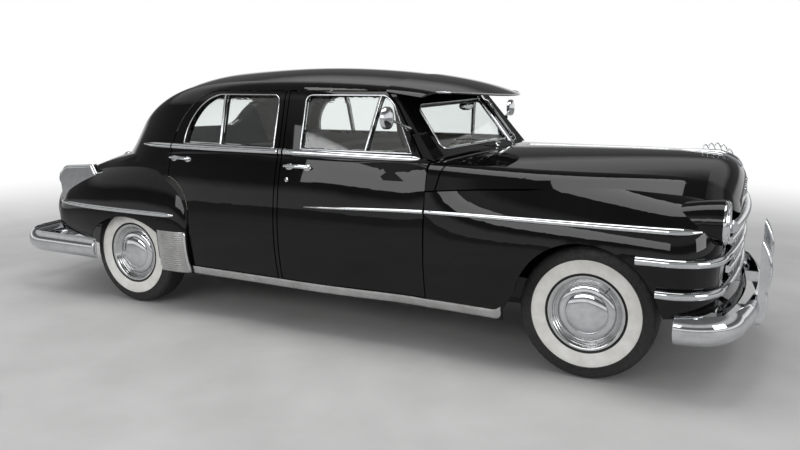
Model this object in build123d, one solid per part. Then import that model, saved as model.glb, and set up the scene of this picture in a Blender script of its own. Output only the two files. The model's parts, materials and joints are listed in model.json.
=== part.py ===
from build123d import *
import os
from math import atan2, cos, radians, sin

os.makedirs("parts", exist_ok=True)

# Classic four-door sedan with a separate frame. Millimetres, x forward, y to the left, z up.
# The origin is on the floor, under the middle of the car's length and width.

# Clearances
panel_gap = 8.0           # seam between a moving panel and its surround
seat_gap = 0.3            # running fit of glass in its frame and of one piece on another

# Running gear
front_axle_x = 1805.0
rear_axle_x = -1383.0
front_track = 1448.0
rear_track = 1516.0
tyre_radius = 360.0
tyre_width = 195.0
rim_radius = 203.0        # rim flange
bead_radius = 190.0
rim_width = 150.0
hubcap_radius = 150.0
hubcap_rise = 46.0
kingpin_offset = 34.0     # from the kingpin out to the wheel's middle plane

# Body walls
door_wall = 62.0          # whole door, skin to trim
roof_wall = 40.0
fender_wall = 14.0
hood_wall = 18.0
cowl_wall = 30.0
firewall_wall = 20.0
glass_thickness = 6.0
glass_inset = 14.0        # glass below the outer face

# Places along the car
front_seam_x = 925.0      # front edge of the front doors
pillar_front_x = -49.0    # rear edge of the front doors
pillar_rear_x = -88.0     # front edge of the rear doors
bulkhead_x = -1230.0      # back of the cabin
firewall_x = 985.0
tail_x = -2485.0
heel_x = -800.0           # step of the floor under the rear seat

# Heights
sill_top = 340.0
belt_z = 1116.0
door_top_z = 1490.0
floor_z = 345.0
floor_thickness = 20.0
trunk_floor_z = 530.0

# Bumpers
front_bumper_x = 2590.0
rear_bumper_x = -2590.0
guard_tip_x = 2645.0
bumper_half_width = 945.0


def across(x):
    """Plane square to the car's length, local x to the left and local y up."""
    return Plane(origin=(x, 0, 0), x_dir=(0, 1, 0), z_dir=(1, 0, 0))


def side_plane(y):
    """Plane along the car, local x forward and local y up, facing the right side."""
    return Plane(origin=(0, y, 0), x_dir=(1, 0, 0), z_dir=(0, -1, 0))


def block(x0, x1, y0, y1, z0, z1):
    """Box between two corners."""
    size = Box(x1 - x0, y1 - y0, z1 - z0)
    return Pos((x0 + x1) / 2, (y0 + y1) / 2, (z0 + z1) / 2) * size


def side_prism(edges, y0, y1):
    """Solid with a side-view outline, from y0 to y1."""
    outline = side_plane(max(y0, y1)) * make_face(edges)
    return extrude(outline, amount=abs(y1 - y0))


def both(shape):
    """The shape and its mirror image across the car's middle."""
    return [shape, mirror(shape, Plane.XZ)]


def fuse(shapes):
    """One shape out of several."""
    total = shapes[0]
    for shape in shapes[1:]:
        total = total + shape
    return total


def save(name, *shapes):
    """Write one node as a compound of its solids."""
    solids = [solid for shape in shapes for solid in shape.solids()]
    export_step(Compound(solids), f"parts/{name}.step")


# Sections across the car

def hull_section(x, y_low, y_mid, y_top, z_low, z_mid, z_top, z_crown, shoulder):
    """Bowed sides, crowned top and rounded shoulders."""
    edges = [
        Line((-y_low, z_low), (y_low, z_low)),
        ThreePointArc((y_low, z_low), (y_mid, z_mid), (y_top, z_top)),
        ThreePointArc((y_top, z_top), (0, z_crown), (-y_top, z_top)),
        ThreePointArc((-y_top, z_top), (-y_mid, z_mid), (-y_low, z_low)),
    ]
    face = make_face(edges).face()
    tops = [v for v in face.vertices() if v.Y > z_top - 1]
    return across(x) * face.fillet_2d(shoulder, tops)


def arch_section(x, y_base, z_base, y_top, z_top, z_crown, shoulder):
    """Straight leaning sides, crowned top and rounded shoulders."""
    edges = [
        Line((-y_base, z_base), (y_base, z_base)),
        Line((y_base, z_base), (y_top, z_top)),
        ThreePointArc((y_top, z_top), (0, z_crown), (-y_top, z_top)),
        Line((-y_top, z_top), (-y_base, z_base)),
    ]
    face = make_face(edges).face()
    tops = [v for v in face.vertices() if v.Y > z_top - 1]
    return across(x) * face.fillet_2d(shoulder, tops)


def pod_section(x, y_in, z_in, y_crest, z_crest, y_mid, z_mid, y_low, z_low):
    """Right-hand fender section: inner wall, top, round crest to the side, tucked-in foot."""
    edges = [
        Line((-y_in, z_low), (-y_in, z_in)),
        Line((-y_in, z_in), (-y_crest, z_crest)),
        TangentArc((-y_mid, z_mid), (-y_crest, z_crest), tangent=(0, 1)),
        TangentArc((-y_mid, z_mid), (-y_low, z_low), tangent=(0, -1)),
        Line((-y_low, z_low), (-y_in, z_low)),
    ]
    return across(x) * make_face(edges).face()


# Lower body, x from front to rear
# x, half-width at foot, at middle and at shoulder, then foot, shoulder and crown heights, shoulder radius
lower_body = [
    (925, 868, 926, 862, 285, 1104, 1150, 34),
    (430, 880, 936, 866, 285, 1112, 1150, 34),
    (-70, 884, 940, 868, 285, 1116, 1150, 34),
    (-700, 876, 928, 852, 285, 1112, 1146, 36),
    (-1100, 846, 896, 806, 285, 1094, 1130, 44),
    (-1400, 790, 846, 742, 300, 1058, 1110, 60),
    (-1750, 715, 770, 645, 330, 988, 1062, 90),
    (-2100, 650, 700, 575, 370, 892, 970, 110),
    (-2350, 600, 645, 515, 410, 812, 895, 110),
    (-2450, 550, 590, 455, 430, 755, 842, 105),
    (-2485, 500, 530, 390, 450, 690, 780, 95),
]
side_bow_z = 640.0        # height of the widest line of the side


def lower_volume(inset, drop, rise=0.0):
    """Lower body volume, drawn in by inset, its foot moved down by drop."""
    sections = []
    last = lower_body[-1][0]
    for x, y_low, y_mid, y_top, z_low, z_top, z_crown, shoulder in lower_body:
        z_mid = min(side_bow_z, (z_low + z_top) / 2)
        station = x + inset if x == last else x
        sections.append(hull_section(
            station, y_low - inset, y_mid - inset, y_top - inset,
            z_low - drop, z_mid, z_top - inset + rise, z_crown - inset + rise, shoulder))
    return loft(sections)


# Roof and glass house
# x, half-width at base and at rail, rail and crown heights, rail radius
roof = [
    (1130, 800, 600, 1400, 1450, 90),
    (880, 872, 690, 1470, 1536, 110),
    (600, 888, 730, 1505, 1592, 130),
    (200, 893, 752, 1522, 1632, 150),
    (-250, 894, 756, 1528, 1645, 160),
    (-700, 880, 738, 1512, 1628, 170),
    (-1000, 856, 700, 1474, 1598, 180),
    (-1250, 815, 640, 1400, 1527, 180),
    (-1450, 745, 570, 1290, 1440, 170),
    (-1600, 640, 480, 1170, 1335, 150),
    (-1720, 520, 400, 1080, 1222, 120),
    (-1800, 420, 320, 1040, 1130, 60),
]
roof_base_z = 1000.0
roof_peak_x = -250.0

# Split windscreen: two flat panes that meet at the middle
screen_base_x = 1096.0
screen_base_z = 1182.0
screen_side_x = 905.0     # at screen_side_y, on the same line of the base
screen_side_y = 690.0
screen_side_z = 1148.0
screen_rake = 0.80        # x moved back for each unit of height
pillar_y = 660.0          # from here out the pillar's face runs square to the car


def screen_plane(side, inset=0.0):
    """Face of one pane; side is -1 for the right, local x away from the middle, local y up the pane."""
    base = Vector(screen_base_x, 0, screen_base_z)
    outer = Vector(screen_side_x, side * screen_side_y, screen_side_z)
    along = (outer - base).normalized()
    up = Vector(-screen_rake, 0, 1).normalized()
    normal = along.cross(up).normalized()
    if normal.X < 0:
        normal = normal * -1
    return Plane(origin=base - normal * inset, x_dir=along, z_dir=normal)


def roof_volume(inset):
    """Roof and glass house volume drawn in by inset, running on over the windscreen."""
    sections = []
    for x, y_base, y_rail, z_rail, z_crown, radius in roof:
        station = x if x > roof_peak_x else x + inset
        sections.append(arch_section(
            station, y_base - inset, roof_base_z, y_rail - inset, z_rail - inset * 0.8,
            z_crown - inset, radius))
    return loft(sections)


def ahead_of(plane):
    """Large block on the outer side of a plane."""
    return plane * Pos(0, 0, 1000) * Box(6000, 6000, 2000)


def house_volume(inset):
    """Roof and glass house cut off at the two panes and at the pillars beside them."""
    share = pillar_y / screen_side_y
    corner = Vector(screen_base_x + (screen_side_x - screen_base_x) * share - inset, 0,
                    screen_base_z + (screen_side_z - screen_base_z) * share)
    square = Plane(origin=corner, x_dir=(0, 1, 0), z_dir=(1, 0, screen_rake))
    volume = roof_volume(inset)
    for side in (-1, 1):
        half = block(-3000, 3000, min(0, side * 2000), max(0, side * 2000), 0, 2500)
        volume = volume - (ahead_of(screen_plane(side, inset)) & ahead_of(square) & half)
    return volume


# Hood and cowl
# x, half-width and height of the lower edge, half-width and height of the shoulder, crown height, radius
hood_run = [
    (925, 912, 960, 862, 1104, 1150, 100),
    (1275, 858, 986, 804, 1086, 1161, 125),
    (1625, 802, 1000, 735, 1074, 1164, 140),
    (1975, 738, 998, 650, 1071, 1165, 148),
    (2325, 648, 968, 552, 1050, 1152, 140),
]
# The same columns round the nose
hood_nose = [
    (2325, 648, 968, 552, 1050, 1152, 140),
    (2364, 618, 955, 520, 1035, 1143, 135),
    (2403, 578, 938, 480, 1012, 1125, 125),
    (2442, 520, 915, 425, 975, 1094, 110),
    (2480, 420, 886, 320, 915, 1020, 60),
]
cowl_middle_x = 1150.0    # seam between cowl and hood, an arc in plan
cowl_side_x = 994.0
cowl_half_width = 860.0
hood_side_gap = 12.0      # beside the hood's lower edges, also while they swing up


def hood_part(table, inset, drop, last):
    """Stretch of the hood volume through one table, its last station moved by last."""
    sections = []
    for number, (x, y_edge, z_edge, y_top, z_top, z_crown, radius) in enumerate(table):
        station = x + last if number == len(table) - 1 else x
        sections.append(arch_section(
            station, y_edge - inset, z_edge - drop, y_top - inset, z_top - inset,
            z_crown - inset, radius))
    return loft(sections)


def hood_volume(inset, drop, end=0.0):
    """Hood volume drawn in by inset, its lower edge moved down by drop and its tip back by end."""
    return hood_part(hood_run, inset, drop, 0.0) + hood_part(hood_nose, inset, drop, -end)


def hood_way():
    """Upright room above the hood's lower edges, between the fenders."""
    sections = []
    for x, y_edge, z_edge, y_top, z_top, z_crown, radius in hood_run:
        half_width = y_edge + hood_side_gap
        sections.append(arch_section(
            x, half_width, z_edge - panel_gap, half_width, z_crown, z_crown + radius, panel_gap))
    return loft(sections) & block(cowl_side_x, 2600, -1100, 1100, 0, 1500)


def seam_cylinder(offset):
    """Upright cylinder whose face is the hood's rear seam, moved forward by offset."""
    depth = cowl_middle_x - cowl_side_x
    radius = (cowl_half_width ** 2 + depth ** 2) / (2 * depth)
    centre = cowl_middle_x - radius + offset
    return Pos(centre, 0, 1000) * Cylinder(radius, 1200)


# Front fender, right side
# x, inner top height, crest half-width and height, side half-width and its height, foot half-width and height
front_fender = [
    (925, 930, 905, 985, 926, 640, 868, 285),
    (1300, 930, 840, 1006, 936, 660, 884, 285),
    (1700, 930, 790, 1022, 940, 680, 905, 300),
    (2000, 930, 750, 1012, 941, 690, 912, 370),
    (2195, 928, 715, 998, 940, 690, 905, 415),
]
# Round corner of the same fender: plan angle, then the same heights and half-widths
corner_radius = 230.0
corner_x = 2195.0
corner_y = 710.0
fender_corner = [
    (0, 928, 715, 998, 690, 905, 415),
    (18, 922, 698, 990, 690, 890, 422),
    (36, 914, 676, 978, 690, 860, 430),
    (54, 902, 650, 962, 685, 812, 438),
    (72, 884, 618, 940, 680, 750, 446),
    (90, 862, 575, 912, 675, 680, 455),
]
lamp_y = 730.0
lamp_z = 880.0
lamp_radius = 102.0
lamp_face_x = 2430.0
bucket_depth = 90.0
lens_radius = 88.0
# Pod round the headlamp: x, half-width and height of its axis, radius
lamp_pod = [
    (2125, 748, 862, 84),
    (2225, 742, 870, 98),
    (2325, 735, 877, 108),
    (2425, 730, 880, 112),
]
apron_y = 420.0           # inner fender wall beside the engine
arch_top_x = 1800.0
arch_top_z = 755.0
arch_rear = (1455.0, 474.0)
arch_rear_foot = (1381.0, 342.0)
arch_front = (2172.0, 480.0)
arch_front_foot = (2210.0, 380.0)


def fender_volume(table, y_in, inset, drop, first=0.0, last=0.0):
    """Fender volume drawn in by inset, its foot moved down by drop and its ends moved by first and last."""
    sections = []
    for number, row in enumerate(table):
        x, z_in, y_crest, z_crest, y_mid, z_mid, y_low, z_low = row
        station = x
        if number == 0:
            station = x + first
        if number == len(table) - 1:
            station = x + last
        depth = z_mid - z_low
        tuck = (y_mid - y_low) * ((depth + drop) / depth) ** 2    # the side keeps its curve as it drops
        sections.append(pod_section(
            station, y_in + inset, z_in - inset, y_crest - inset / 2, z_crest - inset,
            y_mid - inset, z_mid, y_mid - inset - tuck, z_low - drop))
    return loft(sections)


def front_fender_volume(inset, drop):
    """Front fender volume: long run, round corner and headlamp pod, drawn in by inset."""
    corner = []
    for angle, z_in, y_crest, z_crest, z_mid, y_low, z_low in fender_corner:
        x = corner_x + corner_radius * sin(radians(angle))
        y = corner_y + corner_radius * cos(radians(angle))
        corner.append((x, z_in, y_crest, z_crest, y, z_mid, y_low, z_low))
    run = fender_volume(front_fender, apron_y, inset, drop, first=inset)
    turn = fender_volume(corner, apron_y, inset, drop, last=-inset)
    rings = []
    for x, y, z, radius in lamp_pod:
        station = x - inset if x == lamp_pod[-1][0] else x
        rings.append(across(station) * Pos(-y, z) * Circle(radius - inset))
    return run + turn + loft(rings)


def front_arch(y0, y1):
    """Front wheel opening."""
    foot_z = 100.0
    edges = [
        Line((arch_rear_foot[0], foot_z), arch_rear_foot),
        Line(arch_rear_foot, arch_rear),
        TangentArc((arch_top_x, arch_top_z), arch_rear, tangent=(-1, 0)),
        TangentArc((arch_top_x, arch_top_z), arch_front, tangent=(1, 0)),
        Line(arch_front, arch_front_foot),
        Line(arch_front_foot, (arch_front_foot[0], foot_z)),
        Line((arch_front_foot[0], foot_z), (arch_rear_foot[0], foot_z)),
    ]
    return side_prism(edges, y0, y1)


# Rear fender, right side, same columns as the front one
rear_fender = [
    (-796, 640, 895, 700, 934, 540, 884, 285),
    (-820, 700, 895, 800, 948, 560, 900, 285),
    (-860, 740, 885, 862, 954, 580, 912, 285),
    (-960, 800, 870, 918, 955, 600, 918, 285),
    (-1120, 850, 850, 962, 955, 620, 920, 300),
    (-1400, 850, 825, 968, 953, 630, 920, 440),
    (-1700, 820, 790, 935, 940, 620, 905, 455),
    (-1950, 760, 745, 868, 905, 600, 872, 458),
    (-2080, 700, 710, 790, 870, 580, 840, 462),
    (-2130, 640, 680, 700, 830, 560, 800, 470),
]
rear_arch_front = (-1042.0, 552.0)
rear_arch_top = (-1375.0, 636.0)
rear_arch_rear = (-1715.0, 470.0)
wheel_house_radius = 410.0
wheel_house_wall = 8.0
wheel_house_y = 625.0


def rear_arch(y0, y1):
    """Rear wheel opening, lower than the tyre's top."""
    foot_z = 100.0
    edges = [
        Line((rear_arch_front[0], foot_z), rear_arch_front),
        ThreePointArc(rear_arch_front, rear_arch_top, rear_arch_rear),
        Line(rear_arch_rear, (rear_arch_rear[0], foot_z)),
        Line((rear_arch_rear[0], foot_z), (rear_arch_front[0], foot_z)),
    ]
    return side_prism(edges, y0, y1)


# Door outlines in side view, each grown by a margin

def front_door_edges(margin):
    """Front door: upright edges, front edge of the frame raked with the windscreen."""
    front = front_seam_x - panel_gap + margin
    rear = pillar_front_x - margin
    low = sill_top + panel_gap - margin
    top = door_top_z + margin
    belt = belt_z - 6 + margin
    points = [
        (rear, low), (front, low), (front, belt), (862 + margin, belt + 16),
        (678 + margin, 1405 + margin), (590 + margin, top), (rear, top),
    ]
    return Polyline(*points, close=True).edges()


def rear_door_edges(margin):
    """Rear door: follows the fender's front, then the curve of the quarter glass."""
    front = pillar_rear_x + margin
    low = sill_top + panel_gap - margin
    top = door_top_z + margin
    edges = [
        Line((front, top), (front, low)),
        Line((front, low), (-780 - margin, low)),
        Line((-780 - margin, low), (-780 - margin, 700)),
        ThreePointArc((-780 - margin, 700), (-830 - margin, 845), (-975 - margin, 935 - margin / 2)),
        Line((-975 - margin, 935 - margin / 2), (-985 - margin, 1120)),
        ThreePointArc((-985 - margin, 1120), (-890 - margin, 1345 + margin / 2), (-640, top)),
        Line((-640, top), (front, top)),
    ]
    return edges


def front_window_edges(margin):
    """Front door window with its vent pane, grown by margin."""
    low, top = 1158 - margin, 1462 + margin
    rear, front = 78 - margin, 795 + margin
    edges = [
        Line((rear, low), (front, low)),
        Line((front, low), (front - 142, 1410)),
        ThreePointArc((front - 142, 1410), (front - 172, 1442), (front - 220, top)),
        Line((front - 220, top), (rear + 40, top)),
        ThreePointArc((rear + 40, top), (rear + 12, top - 12), (rear, top - 40)),
        Line((rear, top - 40), (rear, low)),
    ]
    return edges


def rear_window_edges(margin):
    """Rear door window with its quarter pane, grown by margin."""
    low, top = 1158 - margin, 1462 + margin
    front, rear = -132 + margin, -868 - margin
    edges = [
        Line((front, low), (front, top - 40)),
        ThreePointArc((front, top - 40), (front - 12, top - 12), (front - 40, top)),
        Line((front - 40, top), (-600, top)),
        ThreePointArc((-600, top), (-790 - margin, 1350 + margin), (rear, low)),
        Line((rear, low), (front, low)),
    ]
    return edges


def window_bar(x_low, x_high, width, y0, y1):
    """Upright division bar of a window."""
    points = [(x_low, 1150), (x_low + width, 1150), (x_high + width, 1470), (x_high, 1470)]
    return side_prism(Polyline(*points, close=True).edges(), y0, y1)


side_out = -1100.0
side_in = -560.0

# Volumes that several nodes share
lower_outer = lower_volume(0, 0)
lower_inner = lower_volume(door_wall, 120)
house_outer = house_volume(0)
house_inner = house_volume(roof_wall)
glass_band = house_volume(glass_inset) - house_volume(glass_inset + glass_thickness)
hood_outer = hood_volume(0, 0)
hood_clear = hood_volume(-hood_side_gap, panel_gap, -panel_gap)

# Body shell
cowl = (hood_outer - hood_volume(cowl_wall, 30)) & seam_cylinder(0)
cowl = cowl + (hood_outer & block(front_seam_x, front_seam_x + 12, -1000, 1000, 900, 1300))
house_cavity = house_inner - block(850, 1400, -1000, 1000, 900, screen_side_z + 12)
house_shell = house_outer - block(front_seam_x, 1400, -1000, 1000, 900, 1120)
shell = lower_outer + house_shell + cowl
shell = shell - (lower_inner & block(tail_x, front_seam_x + 1, -1000, 1000, 0, 1300)) - house_cavity

tunnel_half = 140.0       # outer half-width of the tunnel over gearbox and drive shaft
tunnel_wall = 10.0
tunnel_line = [(heel_x - 12, 455), (560, 455), (firewall_x - firewall_wall, 540), (firewall_x + 5, 545)]


def tunnel_volume(inset):
    """Tunnel over the gearbox and drive shaft, drawn in by inset."""
    tops = [(x, z - inset) for x, z in tunnel_line]
    points = [(tops[0][0], 200), *tops, (tops[-1][0], 200)]
    return side_prism(Polyline(*points, close=True).edges(), -tunnel_half + inset, tunnel_half - inset)


firewall = block(firewall_x - firewall_wall, firewall_x, -845, 845, 320, 1060) - tunnel_volume(0)
cowl_side_in = 785.0      # inner face of the cowl sides
post = block(905, firewall_x, cowl_side_in, 845, 300, 1060)
shell = shell + firewall + fuse(both(post))

bulkhead = (block(bulkhead_x, bulkhead_x + 10, -900, 900, trunk_floor_z, 1060)
            + block(-1700, bulkhead_x, -900, 900, 1050, 1060)) & lower_outer
shell = shell + bulkhead

trunk_y = 520.0           # half-width of the lid
trunk_x = -1790.0         # front edge of the lid
trunk_low_z = 560.0
trunk_wall = 26.0


def trunk_box(margin):
    """Region of the trunk lid, grown by a margin."""
    return block(tail_x - 100, trunk_x + margin, -trunk_y - margin, trunk_y + margin,
                 trunk_low_z - margin, 1400)


def wheel_barrel(radius, y0, y1):
    """Cylinder round the rear wheel, from y0 to y1."""
    middle = (y0 + y1) / 2
    return Pos(rear_axle_x, middle, tyre_radius) * Rot(90, 0, 0) * Cylinder(radius, abs(y1 - y0))


# Window openings at the ends
screen_low = 22.0         # along the pane, from its base line
screen_high = 330.0
screen_near = 20.0
screen_far = 655.0
rear_glass_half = 500.0
rear_glass_low = 1195.0
rear_glass_high = 1440.0


def screen_prism(side, margin, deep, high):
    """Slab over one windscreen pane, from deep below the face to high above it."""
    width = screen_far - screen_near + 2 * margin
    height = screen_high - screen_low + 2 * margin
    outline = Pos((screen_near + screen_far) / 2, (screen_low + screen_high) / 2) * RectangleRounded(
        width, height, 38 + margin)
    face = screen_plane(side, deep)
    if face.y_dir.Z < 0:
        face = Plane(origin=face.origin, x_dir=face.x_dir, z_dir=-face.z_dir)
        return extrude(face * outline, amount=-(deep + high))
    return extrude(face * outline, amount=deep + high)


def rear_glass_prism(margin):
    """Prism along the car over the rear window."""
    width = 2 * (rear_glass_half + margin)
    height = rear_glass_high - rear_glass_low + 2 * margin
    outline = Pos(0, (rear_glass_low + rear_glass_high) / 2) * RectangleRounded(width, height, 70 + margin)
    return extrude(across(-2000) * outline, amount=1100)


house_wheel = wheel_barrel(wheel_house_radius, -1000, -wheel_house_y)
cover_y = -wheel_house_y - wheel_house_wall
house_room = wheel_barrel(wheel_house_radius - wheel_house_wall, -851, cover_y)
house_cover = (wheel_barrel(wheel_house_radius, -850, -wheel_house_y) - house_room) & lower_outer
house_cover = house_cover - block(-2000, -800, -1000, 0, 0, 285)
house_cover = house_cover - block(-2000, -800, cover_y, 0, 0, trunk_floor_z)

cowl_back_x = 840.0       # back of the cowl over the dashboard
dash_lump = block(cowl_back_x, 1400, -cowl_side_in, cowl_side_in, 1000, 1160)
front_door_cut = side_prism(front_door_edges(panel_gap), side_out, side_in) - dash_lump
rear_door_cut = side_prism(rear_door_edges(panel_gap), side_out, side_in)
cuts = [trunk_box(panel_gap), rear_glass_prism(0)]
for side in (-1, 1):
    cuts.append(screen_prism(side, 0, roof_wall + 60, 40))
whole_shell = shell
body_cut = whole_shell - fuse(both(house_wheel)) - fuse(both(front_door_cut)) - fuse(both(rear_door_cut))
for cut in cuts:
    body_cut = body_cut - cut
body_cut = body_cut + fuse(both(house_cover))
save("body_shell", body_cut)

# Doors
front_bar = window_bar(506, 556, 14, side_out, side_in)
rear_bar = window_bar(-557, -566, 14, side_out, side_in)
front_bar_clear = window_bar(506 - seat_gap, 556 - seat_gap, 14 + 2 * seat_gap, side_out, side_in)
rear_bar_clear = window_bar(-557 - seat_gap, -566 - seat_gap, 14 + 2 * seat_gap, side_out, side_in)
room_half = cowl_side_in + panel_gap
cowl_room = block(cowl_back_x, 1400, -room_half, room_half, 1000, 1160 + panel_gap)
door_stock = whole_shell - fuse([house_wheel, firewall, post]) - cowl_room
door_skin = 20.0          # depth of the door's outer edge, which is wider than its inner box
swing_room = 26.0         # the inner box stops short at the lock side, to swing past the pillar
door_depth = lower_volume(door_skin, 40) + house_volume(door_skin)

front_opening = side_prism(front_window_edges(0), side_out, side_in) - front_bar
rear_opening = side_prism(rear_window_edges(0), side_out, side_in) - rear_bar


def door_panel(outline, opening):
    """Door cut from the body wall, its inner box cut back at the lock side."""
    lock_side = door_depth & (outline - Pos(swing_room, 0, 0) * outline)
    return (door_stock & outline) - opening - lock_side


front_door = door_panel(side_prism(front_door_edges(0), side_out, side_in), front_opening)
rear_door = door_panel(side_prism(rear_door_edges(0), side_out, side_in), rear_opening)
front_glass = (glass_band & side_prism(front_window_edges(-seat_gap), side_out, side_in)) - front_bar_clear
rear_glass = (glass_band & side_prism(rear_window_edges(-seat_gap), side_out, side_in)) - rear_bar_clear

# Door mirror on a stalk
mirror_centre = (751.0, -1020.0, 1355.0)
mirror_radius = 60.0
mirror_depth = 22.0
stalk_foot = (781.0, -826.0, 1292.0)
stalk_radius = 6.0


def rod(start, end, radius):
    """Round bar between two points."""
    start, end = Vector(start), Vector(end)
    path = end - start
    face = Plane(origin=start, z_dir=path.normalized()) * Circle(radius)
    return extrude(face, amount=path.length)


mirror_head = Pos(*mirror_centre) * Rot(0, 90, 0) * Cylinder(mirror_radius, mirror_depth)
mirror_head = mirror_head.fillet(8, mirror_head.edges())
stalk = rod(stalk_foot, mirror_centre, stalk_radius)
front_door = front_door + stalk + mirror_head

for name, shape in (("front", front_door), ("rear", rear_door)):
    save(f"door_{name}_right", shape)
    save(f"door_{name}_left", mirror(shape, Plane.XZ))
for name, shape in (("front", front_glass), ("rear", rear_glass)):
    save(f"door_glass_{name}_right", shape)
    save(f"door_glass_{name}_left", mirror(shape, Plane.XZ))

# Windscreen and rear window
panes = []
for side in (-1, 1):
    panes.append(screen_prism(side, -seat_gap, glass_inset + glass_thickness, -glass_inset))
save("windscreen", *panes)
save("rear_window", glass_band & rear_glass_prism(-seat_gap))

# Trunk lid
lid_inner = lower_volume(trunk_wall, trunk_wall)
save("trunk_lid", (lower_outer - lid_inner - house_outer) & trunk_box(0))

# Hood
hood = (hood_outer - hood_volume(hood_wall, 20, hood_wall)) - seam_cylinder(panel_gap)
save("hood", hood)

# Headlamps

def turned(edges, centre, along_x=False):
    """Solid of revolution about the y axis, or the x axis, drawn as radius and distance."""
    body = revolve(make_face(edges), Axis.Y)
    if along_x:
        body = Rot(0, 0, -90) * body
    return Pos(*centre) * body


flange_y = corner_x + corner_radius + seat_gap - lamp_face_x
bezel = turned([
    Line((0, -bucket_depth), (60, -bucket_depth)),
    Line((60, -bucket_depth), (lamp_radius - 6, -30)),
    Line((lamp_radius - 6, -30), (lamp_radius - 6, flange_y)),
    Line((lamp_radius - 6, flange_y), (lamp_radius + 6, flange_y)),
    ThreePointArc((lamp_radius + 6, flange_y), (lamp_radius, 14), (lens_radius, 18)),
    Line((lens_radius, 18), (lens_radius, 0)),
    Line((lens_radius, 0), (50, -bucket_depth + 14)),
    Line((50, -bucket_depth + 14), (0, -bucket_depth + 14)),
    Line((0, -bucket_depth + 14), (0, -bucket_depth)),
], (lamp_face_x, -lamp_y, lamp_z), along_x=True)
lens = turned([
    Line((0, 2), (lens_radius - seat_gap, 2)),
    Line((lens_radius - seat_gap, 2), (lens_radius - seat_gap, 10)),
    TangentArc((0, 24), (lens_radius - seat_gap, 10), tangent=(1, 0)),
    Line((0, 24), (0, 2)),
], (lamp_face_x, -lamp_y, lamp_z), along_x=True)
save("headlamps", *both(bezel))
save("headlamp_lenses", *both(lens))

# Front fenders
fender_cavity = front_fender_volume(fender_wall, 80)
suspension_window = block(1560, 2050, -apron_y - 20, -apron_y + 20, 100, 620)
lamp_hole = Pos(2400, -lamp_y, lamp_z) * Rot(0, 90, 0) * Cylinder(lamp_radius - 6 + seat_gap, 200)
hood_half = hood_clear & block(900, 2600, -1100, 0, 0, 1400)
fender = front_fender_volume(0, 0) - fender_cavity
fender = fender - front_arch(-1100, -700) - hood_half - hood_way() - suspension_window - lamp_hole
fender = fender - block(900, firewall_x + panel_gap, -853, 0, 0, 1300)
save("fender_front_right", fender)
save("fender_front_left", mirror(fender, Plane.XZ))

# Rear fenders
rear_skin_volume = fender_volume(rear_fender, 600, 0, 0)
rear_skin = rear_skin_volume - fender_volume(rear_fender, 600, fender_wall, 80, -fender_wall, fender_wall)
rear_skin = rear_skin - rear_arch(-1100, -880) - lower_outer
rear_skin = rear_skin - wheel_barrel(wheel_house_radius - 10, -936, -500)
save("fender_rear_right", rear_skin)
save("fender_rear_left", mirror(rear_skin, Plane.XZ))

# Sun visor: a sheet that carries the roof's own surface on over the windscreen
visor_wall = 6.0
visor_back_x = 590.0
visor_tip_x = 1105.0
visor_radius = 1000.0     # of its front edge, seen from above
visor_foot = [(560, 1496), (1200, 1402)]
visor_plan = Pos(visor_tip_x - visor_radius, 0, 1400) * Cylinder(visor_radius, 800)
visor_side = Polyline(*visor_foot, (1200, 1800), (560, 1800), close=True).edges()
visor_ahead = block(visor_back_x, 1200, -1000, 1000, 1300, 1800)
visor_zone = side_prism(visor_side, -1000, 1000) & visor_plan & visor_ahead
visor = (roof_volume(-visor_wall - seat_gap) - roof_volume(-seat_gap)) & visor_zone
save("sun_visor", visor)


# Plan line round an end of the car, shared by the grille and both bumpers

def wrap_path(end_x, half_width, corner, side_x, z):
    """Side run, tangent corner and shallow front arc, mirrored; end_x is at the middle."""
    way = 1 if end_x > 0 else -1
    reach = abs(end_x)
    corner_x = reach - corner[0]
    corner_y = half_width - corner[1]
    radius = corner[1]
    run = reach - corner_x
    big = (corner_y ** 2 + run ** 2 - radius ** 2) / (2 * (run - radius))
    centre = reach - big
    angle = atan2(corner_y, corner_x - centre)
    start = (way * side_x, -half_width)
    turn = (way * corner_x, -half_width)
    meet = (way * (corner_x + radius * cos(angle)), -(corner_y + radius * sin(angle)))
    middle = (way * reach, 0)
    edges = [
        Line(start, turn),
        TangentArc(turn, meet, tangent=(way, 0)),
        ThreePointArc(meet, middle, (meet[0], -meet[1])),
        TangentArc((turn[0], -turn[1]), (meet[0], -meet[1]), tangent=(way, 0)),
        Line((turn[0], -turn[1]), (start[0], -start[1])),
    ]
    return Pos(0, 0, z) * Wire(edges)


def swept_bar(path, outline):
    """Sweep an outline, drawn as distance outwards and height, along a wrap path."""
    start = min(path.vertices(), key=lambda v: (v.Y, abs(v.X)))
    face = Plane(origin=(start.X, start.Y, start.Z), x_dir=(0, -1, 0), z_dir=(-1, 0, 0)) * outline
    return sweep(face, path=path)


def bow(depth, height, wall):
    """Bar outline: a bowed outer face over a hollow back."""
    half = height / 2
    edges = [
        ThreePointArc((0, -half), (depth, 0), (0, half)),
        Line((0, half), (0, half - wall)),
        ThreePointArc((0, half - wall), (depth - wall, 0), (0, -half + wall)),
        Line((0, -half + wall), (0, -half)),
    ]
    return make_face(edges).face()


def bead(depth, height):
    """Solid bar outline: flat back and a bowed face."""
    half = height / 2
    edges = [
        ThreePointArc((0, -half), (depth, 0), (0, half)),
        Line((0, half), (0, -half)),
    ]
    return make_face(edges).face()


# Grille: five wrapped bars tied by upright teeth
# height, depth of the bow, height of the bar, x of its ends
grille_bars = [
    (842, 44, 62, 2395),
    (772, 26, 34, 2385),
    (703, 32, 40, 2060),
    (626, 26, 34, 2385),
    (548, 32, 40, 2160),
]
grille_x = 2474.0
grille_half_width = 941.0
grille_corner = (279.0, 231.0)   # from the nose back to the corner's centre, corner radius
tooth_count = 15
tooth_pitch = 62.0
tooth_width = 12.0
tooth_depth = 24.0


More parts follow.
